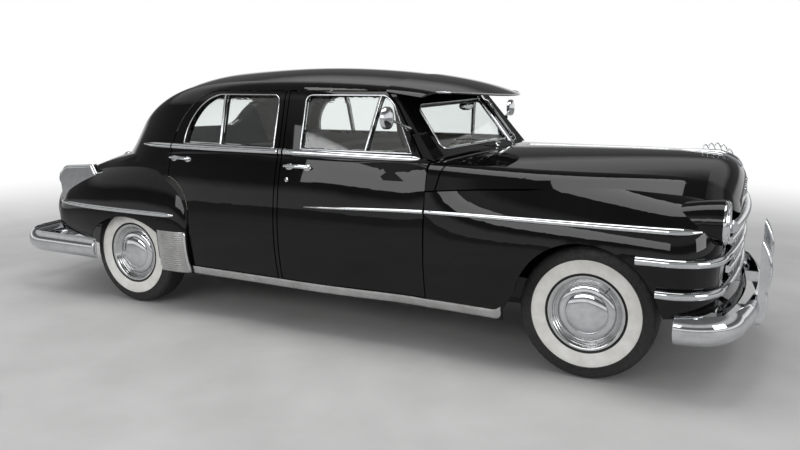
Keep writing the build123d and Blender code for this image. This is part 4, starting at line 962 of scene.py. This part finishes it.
def faces_cabin(centre, normal):
    """Inner face of the shell, seen from the middle of the cabin."""
    inside = all(a < c < b for a, c, b in zip(cabin_low, centre, cabin_high))
    return inside and normal.z * (cabin_mid_z - centre.z) - normal.y * centre.y > 0.02


def faces_floor(centre, normal):
    """Upper face of the cabin floor, its tunnel and the step at the heel."""
    inside = cabin_low[0] < centre.x < 1.0 and centre.z > 0.33 and abs(centre.y) < 0.87
    tunnel = abs(centre.y) < 0.2 and normal.y * centre.y > 0
    step = normal.x > 0.5 and centre.x < heel_x + 0.01
    return inside and (normal.z > 0.3 or tunnel or step)


line_faces("body_shell", lining, faces_cabin)
line_faces("floor_pan", floor_carpet, faces_floor)
for side, word in side_names.items():
    for end in ends:
        line_faces(f"door_{end}_{word}", seat_wool, lambda c, n: n.y * side < -0.5 and 0.40 < c.z < belt_z)
        line_faces(f"door_{end}_{word}", dash_enamel, lambda c, n: n.y * side < -0.3 and c.z >= belt_z)


def laid(tree, starts, direction, reach=1.5):
    """Points and averaged normals where rays from the starts meet a surface."""
    hits = []
    for start in starts:
        place, normal, _, _ = tree.ray_cast(Vector(start), Vector(direction), reach)
        if place is not None and (not hits or (place - hits[-1][0]).length > same_place):
            hits.append((place, -normal if normal.dot(Vector(direction)) > 0 else normal))
    normals = []
    for i in range(len(hits)):
        normals.append(sum((hit[1] for hit in hits[max(0, i - 1):i + 2]), Vector()).normalized())
    return [hit[0] for hit in hits], normals


def bead(name, tree, starts, direction, width, rise, material=chrome_plate, body="body",
         loop=False, taper=0):
    """Half-round bead where rays from the starts meet a surface."""
    path, normals = laid(tree, starts, direction)
    last = len(path) - 1
    scales = [(max(0.3, min(1.0, min(i, last - i) / taper)) if taper else 1.0,) * 2 for i in range(last + 1)]
    return sweep(name, path, normals, half_round(width, rise, foot=0.002), material, body, loop, scales)


# Seats: hard plinths, and cushions and backs swollen by cloth simulation
seat_voxel = 0.016
seat_frames = 20
seat_pressure = 4.0
pleat_pitch = 0.098
pleat_depth = 0.007
pleat_width = 0.009
pleat_end = 0.02          # length over which a pleat fades out
pleat_reach = 0.50        # pleats lie between plain end bolsters
pad_end, pad_shrink = 0.045, 0.35    # rounded length at each end of a pad, and how far it draws in
tunnel_half = 0.150
rear_floor_z = 0.5305
riser_round = 0.010


def carried_across(outline, half, round_end, shrink):
    """Closed rows of an (x, z) outline carried across the car, drawn in at its rounded ends."""
    mid_x = sum(x for x, _ in outline) / len(outline)
    mid_z = sum(z for _, z in outline) / len(outline)
    places = [half - round_end * (1 - math.sin(math.pi / 2 * k / 4)) for k in range(5)]
    flat = spaced(-half + 2 * round_end, half - 2 * round_end, 10)
    places = [-y for y in reversed(places)] + flat + places
    points = []
    for y in places:
        edge = max(0.0, (abs(y) - (half - round_end)) / round_end)
        size = 1.0 - shrink * (1.0 - math.sqrt(max(0.0, 1.0 - edge**2)))
        points.extend((mid_x + (x - mid_x) * size, y, mid_z + (z - mid_z) * size) for x, z in outline)
    return points, tube_faces(len(places), len(outline))


def settle(piece, kind, **values):
    """Add a modifier, then bake its result into the mesh."""
    modifier = piece.modifiers.new(kind.lower(), kind)
    for key, value in values.items():
        setattr(modifier, key, value)
    result = bpy.data.meshes.new_from_object(piece.evaluated_get(bpy.context.evaluated_depsgraph_get()))
    piece.modifiers.clear()
    piece.data = result


def swell(piece, held, cap):
    """Swell a pad by cloth simulation, with some of its points held and every move capped."""
    group = piece.vertex_groups.new(name="held")
    group.add([v.index for v in piece.data.vertices if held(v.co)], 1.0, "REPLACE")
    start = [v.co.copy() for v in piece.data.vertices]
    cloth = piece.modifiers.new("cloth", "CLOTH")
    cloth.settings.effector_weights.gravity = 0.0
    cloth.settings.use_pressure = True
    cloth.settings.uniform_pressure_force = seat_pressure
    cloth.settings.vertex_group_mass = "held"
    cloth.settings.quality = 6
    cloth.point_cache.frame_start = 1
    cloth.point_cache.frame_end = seat_frames
    for number in range(1, seat_frames + 1):
        scene.frame_set(number)
    result = bpy.data.meshes.new_from_object(piece.evaluated_get(bpy.context.evaluated_depsgraph_get()))
    piece.modifiers.clear()
    piece.vertex_groups.clear()
    for vertex, before, after in zip(piece.data.vertices, start, result.vertices):
        move = after.co - before
        if move.length > 1e-6:
            vertex.co = before + move.normalized() * cap * math.tanh(move.length / cap)
    bpy.data.meshes.remove(result)
    scene.frame_set(1)


def pleat(piece, facing, low, high, across):
    """Sew pleats into the side of a pad that faces a direction, between two limits."""
    for vertex, normal in [(v, v.normal.copy()) for v in piece.data.vertices]:
        along = vertex.co[across]
        ends = clamped((along - low) / pleat_end) * clamped((high - along) / pleat_end)
        if abs(vertex.co.y) > pleat_reach + pleat_width or normal.dot(facing) < 0.4:
            continue
        nearest = round(vertex.co.y / pleat_pitch) * pleat_pitch
        fall = math.exp(-((vertex.co.y - nearest) / pleat_width)**2)
        vertex.co -= normal * pleat_depth * fall * ends


def pad(name, outline, half, held, cap, pleats, node):
    """Sprung cushion in cloth."""
    points, faces = carried_across(outline, half, pad_end, pad_shrink)
    piece = add_piece(name, points, faces, [seat_wool])
    settle(piece, "REMESH", mode="VOXEL", voxel_size=seat_voxel)
    swell(piece, held, cap)
    settle(piece, "SUBSURF", levels=1)
    pleat(piece, *pleats)
    piece.data.shade_smooth()
    piece.data.materials.clear()
    piece.data.materials.append(seat_wool)
    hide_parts(node)
    return BVHTree.FromPolygons([v.co for v in piece.data.vertices],
                                [tuple(p.vertices) for p in piece.data.polygons])


def plinth(name, x0, x1, z0, z1, half, node):
    """Painted steel seat riser on each side of the tunnel, with a rounded rim."""
    for side, word in side_names.items():
        y0, y1 = side * tunnel_half, side * half
        rows = [(0.000, 0.0), (0.006, 0.0), (0.010, 0.004), (0.010, z1 - z0 - 0.004), (0.006, z1 - z0),
                (0.0, z1 - z0)]
        outline = [(x0, y0), (x1, y0), (x1, y1), (x0, y1)]
        mid = Vector(((x0 + x1) / 2, (y0 + y1) / 2))
        points = []
        for grow, up in rows:
            for x, y in outline:
                points.append((x + math.copysign(grow - riser_round, x - mid.x),
                               y + math.copysign(grow - riser_round, y - mid.y), z0 + up))
        riser = add_piece(f"{name}_{word}", points, tube_faces(len(rows), 4), [wheel_enamel])
        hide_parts(node)


# Columns: node, height of the sitting face, base of the cushion above the floor
benches = [("front_seat", 0.660, 0.1200), ("rear_seat", 0.690, 0.0060)]
for node, sit, lift in benches:
    low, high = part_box(node)
    floor_under = low.z if node == "front_seat" else rear_floor_z
    back_x, front_x, top_z, half = low.x + 0.005, high.x, high.z, high.y
    base_z = floor_under + lift
    roll = arc((front_x - 0.014, sit - 0.036), (front_x - 0.030, sit - 0.006), (front_x - 0.075, sit), 5)
    cushion = [(back_x + 0.100, base_z), (front_x - 0.046, base_z)] + roll + [(back_x + 0.135, sit - 0.032),
                                                                              (back_x + 0.112, sit - 0.050)]
    crown = arc((back_x + 0.046, top_z - 0.044), (back_x + 0.028, top_z - 0.016),
                (back_x + 0.008, top_z - 0.044), 5)
    rest = [(back_x + 0.028, sit - 0.040), (back_x + 0.108, sit - 0.026)] + crown
    seat_tree = pad(f"{node}_cushion", cushion, half - 0.014, lambda co: co.z < base_z + 0.012, 0.024,
                    (upward, back_x + 0.15, front_x - 0.085, 0), node)
    rest_tree = pad(f"{node}_back", rest, half - 0.014,
                    lambda co: co.x < back_x + 0.026 or co.z < sit - 0.028, 0.022,
                    (ahead, sit + 0.05, top_z - 0.075, 2), node)
    edge = half - 0.040
    rim = (run((back_x + 0.17, -edge), (front_x - 0.060, -edge), 14) + run((front_x - 0.045, -edge + 0.02),
           (front_x - 0.045, edge - 0.02), 40) + run((front_x - 0.060, edge), (back_x + 0.17, edge), 14))
    bead(f"{node}_piping", seat_tree, [(x, y, top_z) for x, y in rim], down, 0.009, 0.005, seat_wool)
    rim = (run((-edge, sit + 0.03), (-edge, top_z - 0.075), 12) + run((-edge + 0.02, top_z - 0.060),
           (edge - 0.02, top_z - 0.060), 40) + run((edge, top_z - 0.075), (edge, sit + 0.03), 12))
    bead(f"{node}_back_piping", rest_tree, [(front_x, y, z) for y, z in rim], astern, 0.009, 0.005,
         seat_wool)
    if node == "front_seat":
        plinth(f"{node}_riser", back_x + 0.085, front_x - 0.060, low.z + 0.002, base_z - 0.002, half - 0.030,
               node)
    else:
        plinth(f"{node}_riser", heel_x + 0.006, heel_x + 0.134, low.z + 0.002, floor_under + 0.002, 0.550, node)

# Door cards: armrest, window crank, inner handle and bright beads
# door, armrest start and end, crank x, handle x, card start and end
door_cards = [("door_front", 0.060, 0.340, 0.470, 0.160, 0.020, 0.830),
              ("door_rear", -0.560, -0.300, -0.420, -0.600, -0.700, -0.150)]
card_reach = 0.45
boss = [(0.0, -0.002), (0.024, -0.002), (0.023, 0.006), (0.013, 0.010), (0.010, 0.022), (0.0, 0.024)]
grip = [(0.0, 0.0), (0.006, 0.0), (0.006, 0.012), (0.011, 0.016), (0.012, 0.030), (0.008, 0.037),
        (0.0, 0.038)]


def lever(name, tree, x, z, side, body, reach, angle):
    """Crank or handle: a boss, an arm turned from the car's forward direction, and a knob."""
    places, normals = laid(tree, [(x, side * card_reach, z)], (0, side, 0))
    if not places:
        return
    turned(f"{name}_boss", boss, places[0], normals[0], 24, body=body)
    way = Vector((math.cos(angle), 0, math.sin(angle)))
    start = places[0] + normals[0] * 0.020
    path = [start + way * reach * t + normals[0] * 0.014 * t * t for t in (0, 0.25, 0.5, 0.75, 1.0)]
    bar(f"{name}_arm", path, normals[0], (0.013, 0.007), body=body)
    turned(f"{name}_knob", grip, path[-1] - normals[0] * 0.002, normals[0], 20, [wheel_plastic], body)


for side, word in side_names.items():
    for panel, arm0, arm1, crank_x, handle_x, card0, card1 in door_cards:
        tree, body = skins[side, panel], body_for(panel, side)
        label = f"{panel}_{word}"
        starts = [(x, side * card_reach, 0.800) for x in spaced(arm0, arm1, 16)]
        places, normals = laid(tree, starts, (0, side, 0))
        if places:
            shape = [(-0.020, -0.002), (-0.024, 0.020), (-0.018, 0.048), (0.0, 0.056), (0.018, 0.050),
                     (0.026, 0.022), (0.022, -0.002)]
            last = len(places) - 1
            sizes = [(0.72 + 0.28 * math.sin(math.pi * (i / last)),
                      0.45 + 0.55 * math.sin(math.pi * (0.1 + 0.8 * i / last))) for i in range(last + 1)]
            sweep(f"armrest_{label}", places, normals, shape, wheel_plastic, body,
                  scales=sizes, sharp=60.0)
        for number, z in enumerate((0.640, 0.985)):
            starts = [(x, side * card_reach, z) for x in spaced(card0, card1, 26)]
            bead(f"card_bead_{number}_{label}", tree, starts, (0, side, 0), 0.010, 0.004, polished_steel, body,
                 taper=3)
        lever(f"crank_{label}", tree, crank_x, 0.870, side, body, 0.085, math.radians(-50))
        lever(f"inner_handle_{label}", tree, handle_x, 0.925, side, body, 0.080, math.radians(175))

# Dashboard: dials, radio grille, glove box and knobs
dash_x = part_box("dashboard")[0].x
dash_tree = tree_of("dashboard")
# y, z and radius of each dial
dials = [(0.370, 0.985, 0.066), (0.252, 0.975, 0.036), (0.488, 0.975, 0.036), (-0.125, 0.985, 0.040)]
for number, (y, z, radius) in enumerate(dials):
    dial = [(0.0, 0.0035, 0), (radius * 0.30, 0.0035, 0), (radius * 0.84, 0.0030, 0),
            (radius * 0.86, 0.0060, 1), (radius * 0.92, 0.0110, 1), (radius * 0.98, 0.0095, 1),
            (radius * 1.02, -0.002, 1), (0.0, -0.002, 1)]
    place = Vector((dash_x, y, z))
    turned(f"dial_{number}", dial, place, astern, 56, [wheel_enamel, chrome_plate])
    for tick in range(9):
        angle = math.radians(-30 + 30 * tick)
        way = Vector((0, math.cos(angle), math.sin(angle)))
        path = [place + astern * 0.0042 + way * radius * t for t in (0.66, 0.78)]
        bar(f"dial_{number}_tick_{tick}", path, astern, (0.0016, 0.0008), whitewall, "body")
    needle = [place + astern * 0.006 + Vector((0, 0.55, 0.83)) * radius * t for t in (-0.15, 0.2, 0.6)]
    bar(f"dial_{number}_needle", needle, astern, (0.0022, 0.0010), red_glass, "body",
        scales=[(1.4, 1), (1, 1), (0.3, 1)])
radio_y, radio_pitch = 0.02, 0.0155
# The middle of nine bars is left out
for number in (0, 1, 2, 3, 5, 6, 7, 8):
    y = (number - 4) * radio_pitch + radio_y
    starts = [(dash_x - 0.1, y, z) for z in spaced(0.905, 1.035, 10)]
    bead(f"radio_bar_{number}", dash_tree, starts, ahead, 0.008, 0.006, taper=2)
for number, y in enumerate((-0.215, -0.175, 0.175, 0.215, 0.560)):
    turned(f"dash_knob_{number}", grip, Vector((dash_x, y, 0.915)), astern, 20, [wheel_plastic])
box_outline = rounded_rectangle((-0.660, -0.270, 0.905, 1.040), 0.02, 0.0, 5)
bead("glove_box_bead", dash_tree, [(dash_x - 0.1, y, z) for y, z in box_outline], ahead, 0.006, 0.003,
     loop=True)
turned("glove_box_knob", grip, Vector((dash_x, -0.465, 1.000)), astern, 20)
bead("dash_strip", dash_tree, [(dash_x - 0.1, y, 0.888) for y in spaced(-0.74, 0.74, 60)], ahead, 0.009,
     0.004, taper=3)

# Steering wheel: horn ring and cap
wheel_middle = Vector((0.520, 0.370, 1.010))
wheel_axis = (wheel_middle - Vector((0.960, 0.370, 0.640))).normalized()
wheel_side = Vector((0, 1, 0))
wheel_up = wheel_axis.cross(wheel_side)
horn_radius = 0.118
horn = [wheel_middle + wheel_axis * 0.012 + wheel_side * horn_radius * math.cos(2 * math.pi * k / 48)
        + wheel_up * horn_radius * math.sin(2 * math.pi * k / 48) for k in range(48)]
bar("horn_ring", horn, wheel_axis, (0.0085, 0.0085), loop=True)
for number, sign in enumerate((1, -1)):
    path = [wheel_middle + wheel_axis * (0.010 + 0.006 * math.sin(math.pi * t))
            + wheel_side * sign * horn_radius * t for t in (0.2, 0.4, 0.6, 0.8, 0.98)]
    bar(f"horn_arm_{number}", path, wheel_axis, (0.011, 0.006))
cap_outline = [(0.0, 0.0235), (0.014, 0.0225), (0.025, 0.018), (0.030, 0.012), (0.0345, 0.010),
               (0.0365, 0.004), (0.0365, -0.006), (0.0, -0.006)]
turned("horn_cap", cap_outline, wheel_middle, wheel_axis, 40)

# Interior mirror under the header
glass_middle = Vector((0.790, 0.0, 1.392))
inside_mirror = [(0.0, -0.004, 0), (0.050, -0.004, 0), (0.0535, -0.006, 1), (0.0555, -0.002, 1),
                 (0.0545, 0.008, 1), (0.040, 0.016, 1), (0.0, 0.019, 1)]
turned("inside_mirror", inside_mirror, glass_middle, Vector((1, 0, 0.10)), 56,
       [chrome_plate, polished_steel], squeeze=(2.0, 0.50))
stem = [glass_middle + Vector((0.014, 0, 0.004)), glass_middle + Vector((0.034, 0, 0.030)),
        glass_middle + Vector((0.050, 0, 0.066))]
bar("inside_mirror_stem", stem, Vector((0, 1, 0)), (0.009, 0.009))

# Headlamps: reflector, bulb and fluted glass
lamp_middle = (2.430, 0.730, 0.880)
lens_edge = 0.0877
reflector = [(0.0, -0.070), (0.020, -0.069), (0.042, -0.062), (0.062, -0.047), (0.077, -0.026),
             (0.0850, -0.003), (0.0868, 0.0005), (0.0868, -0.004), (0.0785, -0.029), (0.063, -0.050),
             (0.043, -0.065), (0.020, -0.072), (0.0, -0.073)]
bulb = [(0.0, -0.026), (0.006, -0.027), (0.0095, -0.033), (0.0095, -0.046), (0.006, -0.054), (0.006, -0.068),
        (0.0, -0.068)]
rim_ring = [(0.0868, 0.0175), (0.0905, 0.0215), (0.0955, 0.0205), (0.0990, 0.0165), (0.0985, 0.0145),
            (0.0868, 0.0160)]
flutes = 11
lens_rings, lens_spokes = 14, 72


def fluted_lens(name, centre):
    """Domed glass with upright flutes on its inner face."""
    points, faces = [], []
    for layer in (0, 1):
        for i in range(lens_rings + 1):
            share = i / lens_rings
            for k in range(lens_spokes):
                angle = 2 * math.pi * k / lens_spokes
                y, z = share * lens_edge * math.cos(angle), share * lens_edge * math.sin(angle)
                dome = 0.002 + 0.0215 * math.sqrt(max(0.0, 1 - share**2 * 0.86))
                ripple = 0.0009 * math.cos(math.pi * flutes * y / lens_edge) * min(1.0, 4 * (1 - share))
                depth = dome if layer == 0 else max(0.0021, dome - 0.0042 + ripple)
                points.append(centre + Vector((depth, y, z)))
        base = layer * (lens_rings + 1) * lens_spokes
        faces += grid_faces(lens_rings + 1, lens_spokes, close_columns=True, base=base)
    outer, inner = lens_rings * lens_spokes, (2 * lens_rings + 1) * lens_spokes
    faces += [(outer + k, outer + (k + 1) % lens_spokes, inner + (k + 1) % lens_spokes, inner + k)
              for k in range(lens_spokes)]
    piece = add_piece(name, points, faces, [lamp_glass], sharp=60.0)
    rework(piece.data, merge=True)
    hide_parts("headlamp_lenses")


for side, word in side_names.items():
    centre = mirrored(lamp_middle, side)
    turned(f"reflector_{word}", reflector, centre, ahead, 64)
    turned(f"bulb_{word}", bulb, centre, ahead, 24, [lamp_glass])
    turned(f"lamp_rim_{word}", rim_ring, centre, ahead, 96, closed=True)
    fluted_lens(f"headlamp_glass_{word}", centre)

# Tail lamps: bright bezel and red glass on the rear face of each housing
tail_tree = tree_of("tail_lamps")
glass_dome = [(0.0, 0.0125), (0.008, 0.0120), (0.0150, 0.0095), (0.0195, 0.0045), (0.0205, -0.003),
              (0.0, -0.003)]
glass_bezel = [(0.0205, 0.0045), (0.0225, 0.0065), (0.0250, 0.0045), (0.0258, -0.003), (0.0200, -0.003)]
tail_squeeze = (1.0, 1.9)
for side, word in side_names.items():
    places, normals = laid(tail_tree, [(-2.3, side * 0.800, z) for z in (0.840, 0.855, 0.870)], ahead)
    if places:
        middle = places[len(places) // 2]
        out = normals[len(normals) // 2]
        turned(f"tail_glass_{word}", glass_dome, middle, out, 40, [red_glass],
               squeeze=tail_squeeze)
        turned(f"tail_bezel_{word}", glass_bezel, middle, out, 40, closed=True,
               squeeze=tail_squeeze)

# Hood ornament: a spear on the crown with thin hoops over it, and a blank shield on the nose
hood_tree = tree_of("hood")
above = 1.6              # start of the rays that look down on the hood and the trunk lid
spear_path, spear_out = laid(hood_tree, [(x, 0.0, above) for x in spaced(2.130, 2.452, 30)], down)
count = len(spear_path)
spear_scale = [(0.25 + 0.75 * math.sin(math.pi / 2 * min(1.0, i / (0.7 * count))),
                (0.2 + 0.8 * math.sin(math.pi / 2 * min(1.0, i / (0.8 * count))))
                * (1.0 if i < count - 4 else 1.0 - 0.18 * (i - count + 4))) for i in range(count)]
sweep("ornament_spear", spear_path, spear_out, half_round(0.046, 0.020, foot=0.003), body="hood",
      scales=spear_scale)
# x of each hoop, half-width and height
hoops = [(2.262, 0.017, 0.036), (2.294, 0.020, 0.046), (2.327, 0.021, 0.052), (2.360, 0.021, 0.050),
         (2.392, 0.018, 0.040)]
hoop_turn = math.radians(28)
for number, (x, half, height) in enumerate(hoops):
    path = []
    for t in spaced(0.0, math.pi, 16):
        along = half * math.cos(t)
        spot = (x + along * math.cos(hoop_turn), along * math.sin(hoop_turn), above)
        feet, _ = laid(hood_tree, [spot], down)
        path.append(feet[0] + Vector((-0.2 * height * math.sin(t), 0, 0.004 + height * math.sin(t))))
    across = Vector((-math.sin(hoop_turn), math.cos(hoop_turn), 0))
    bar(f"ornament_hoop_{number}", path, across, (0.0055, 0.0065), body="hood")
shield_place, shield_out = laid(hood_tree, [(2.8, 0.0, z) for z in (0.965, 0.985, 1.005)], astern)
if shield_place:
    shield = [(0.0, 0.0070), (0.016, 0.0064), (0.026, 0.0050), (0.0275, 0.0066), (0.0315, 0.0066),
              (0.0330, 0.0030), (0.0330, -0.004), (0.0, -0.004)]
    turned("nose_shield", shield, shield_place[1], shield_out[1], 48, body="hood",
           squeeze=(0.85, 1.15))

# Hood centre bead from the spear back to the windscreen
ridge = [(x, 0.0, above) for x in spaced(1.170, 2.110, 60)]
bead("hood_centre_bead", hood_tree, ridge, down, 0.012, 0.006, body="hood", taper=4)

# Sun visor: bright rim and side screws
visor_tree = tree_of("sun_visor")
rim_middle, rim_radius = 0.105, 0.992
rim_turn = math.radians(40)
rim = [(rim_middle + rim_radius * math.cos(rim_turn * t), rim_radius * math.sin(rim_turn * t), 1.8)
       for t in spaced(-1.0, 1.0, 72)]
bead("visor_rim", visor_tree, rim, down, 0.010, 0.005, taper=3)
screw = [(0.0, 0.0045), (0.008, 0.0040), (0.0125, 0.0015), (0.0135, -0.002), (0.0, -0.002)]
for side, word in side_names.items():
    places, normals = laid(skins[side, "body"], [(0.590, side * beside, 1.492)], (0, -side, 0))
    if places:
        turned(f"visor_screw_{word}", screw, places[0], normals[0], 24, [polished_steel])

# Rear window moulding, trunk handle and lid hinge covers
body_tree = skins[right, "body"]
outline = rounded_rectangle((-0.500, 0.500, 1.195, 1.440), 0.070, 0.012, 7)
bead("rear_window_moulding", body_tree, [(-2.4, y, z) for y, z in outline], ahead, 0.014, 0.007, loop=True)
lid_tree = tree_of("trunk_lid")
places, normals = laid(lid_tree, [(-3.0, 0.0, 0.700)], ahead)
knob_base = [(0.0, 0.014), (0.013, 0.014), (0.017, 0.010), (0.026, 0.004), (0.029, -0.002), (0.0, -0.002)]
turned("trunk_handle_base", knob_base, places[0], normals[0], 40, body="trunk_lid",
       squeeze=(2.2, 1.0))
hold = [places[0] + normals[0] * (0.012 + 0.022 * math.sin(math.pi * t)) + Vector((0, 0.085 * (2 * t - 1), 0))
        for t in spaced(0.0, 1.0, 12)]
bar("trunk_handle_grip", hold, upward, (0.012, 0.016), body="trunk_lid")
for number, y in enumerate((-0.400, 0.400)):
    starts = [(x, y, above) for x in spaced(-1.900, -1.815, 8)]
    bead(f"trunk_hinge_cover_{number}", lid_tree, starts, down, 0.030, 0.014, body="trunk_lid", taper=3)


# Floor, lamps and backdrop
floor_half = 30.0
floor_mesh = bpy.data.meshes.new("floor")
corners = [(-floor_half, -floor_half, 0), (floor_half, -floor_half, 0), (floor_half, floor_half, 0),
           (-floor_half, floor_half, 0)]
floor_mesh.from_pydata(corners, [], [(0, 1, 2, 3)])
floor_mesh.materials.append(floor_material)
floor = bpy.data.objects.new("floor", floor_mesh)
scene.collection.objects.link(floor)

# Soft lamps: place, point aimed at, width, height, watts, seen in gloss
lamps = [
    ("softbox_over", (0.5, -1.0, 5.5), (0.2, 0.0, 0.8), 6.0, 2.6, 190.0, True),
    ("softbox_side", (-1.0, -7.5, 3.4), (0.0, 0.0, 0.8), 7.0, 1.6, 150.0, True),
    ("softbox_front", (7.5, -2.0, 2.4), (1.5, 0.0, 0.8), 2.6, 2.0, 100.0, True),
    ("softbox_back", (-5.5, 4.5, 3.6), (-0.5, 0.0, 1.0), 4.0, 2.0, 120.0, False),
]
for name, place, aim, width, height, watts, glossy in lamps:
    light = bpy.data.lights.new(name, "AREA")
    light.shape = "RECTANGLE"
    light.size = width
    light.size_y = height
    light.energy = watts
    lamp = bpy.data.objects.new(name, light)
    lamp.location = place
    lamp.rotation_euler = (Vector(aim) - Vector(place)).to_track_quat("-Z", "Y").to_euler()
    lamp.visible_glossy = glossy
    scene.collection.objects.link(lamp)

# World: an even light, a studio with bands for gloss, and plain white for the camera and through glass
world = bpy.data.worlds.new("studio")
world.use_nodes = True
scene.world = world
tree = world.node_tree
sky = tree.nodes["Background"]
sky.inputs["Color"].default_value = (0.96, 0.98, 1.0, 1.0)
sky.inputs["Strength"].default_value = 0.55
split = add_node(tree, "ShaderNodeSeparateXYZ")
tree.links.new(add_node(tree, "ShaderNodeTexCoord").outputs["Generated"], split.inputs["Vector"])
# Height of the direction and its brightness
bands = [(0.0, 0.95), (0.10, 0.90), (0.17, 0.16), (0.34, 0.12), (0.42, 0.55), (0.58, 0.60), (0.70, 0.16),
         (1.0, 0.12)]
studio = add_node(tree, "ShaderNodeBackground")
tree.links.new(add_ramp(tree, split.outputs["Z"], bands), studio.inputs["Color"])
plain_white = add_node(tree, "ShaderNodeBackground", {"Color": (1.0, 1.0, 1.0, 1.0)})
gloss_rays = add_node(tree, "ShaderNodeLightPath").outputs["Is Glossy Ray"]
lit = mixed(tree, gloss_rays, sky.outputs["Background"], studio.outputs["Background"])
shown = mixed(tree, seen_directly(tree), lit, plain_white.outputs["Background"])
tree.links.new(shown, tree.nodes["World Output"].inputs["Surface"])
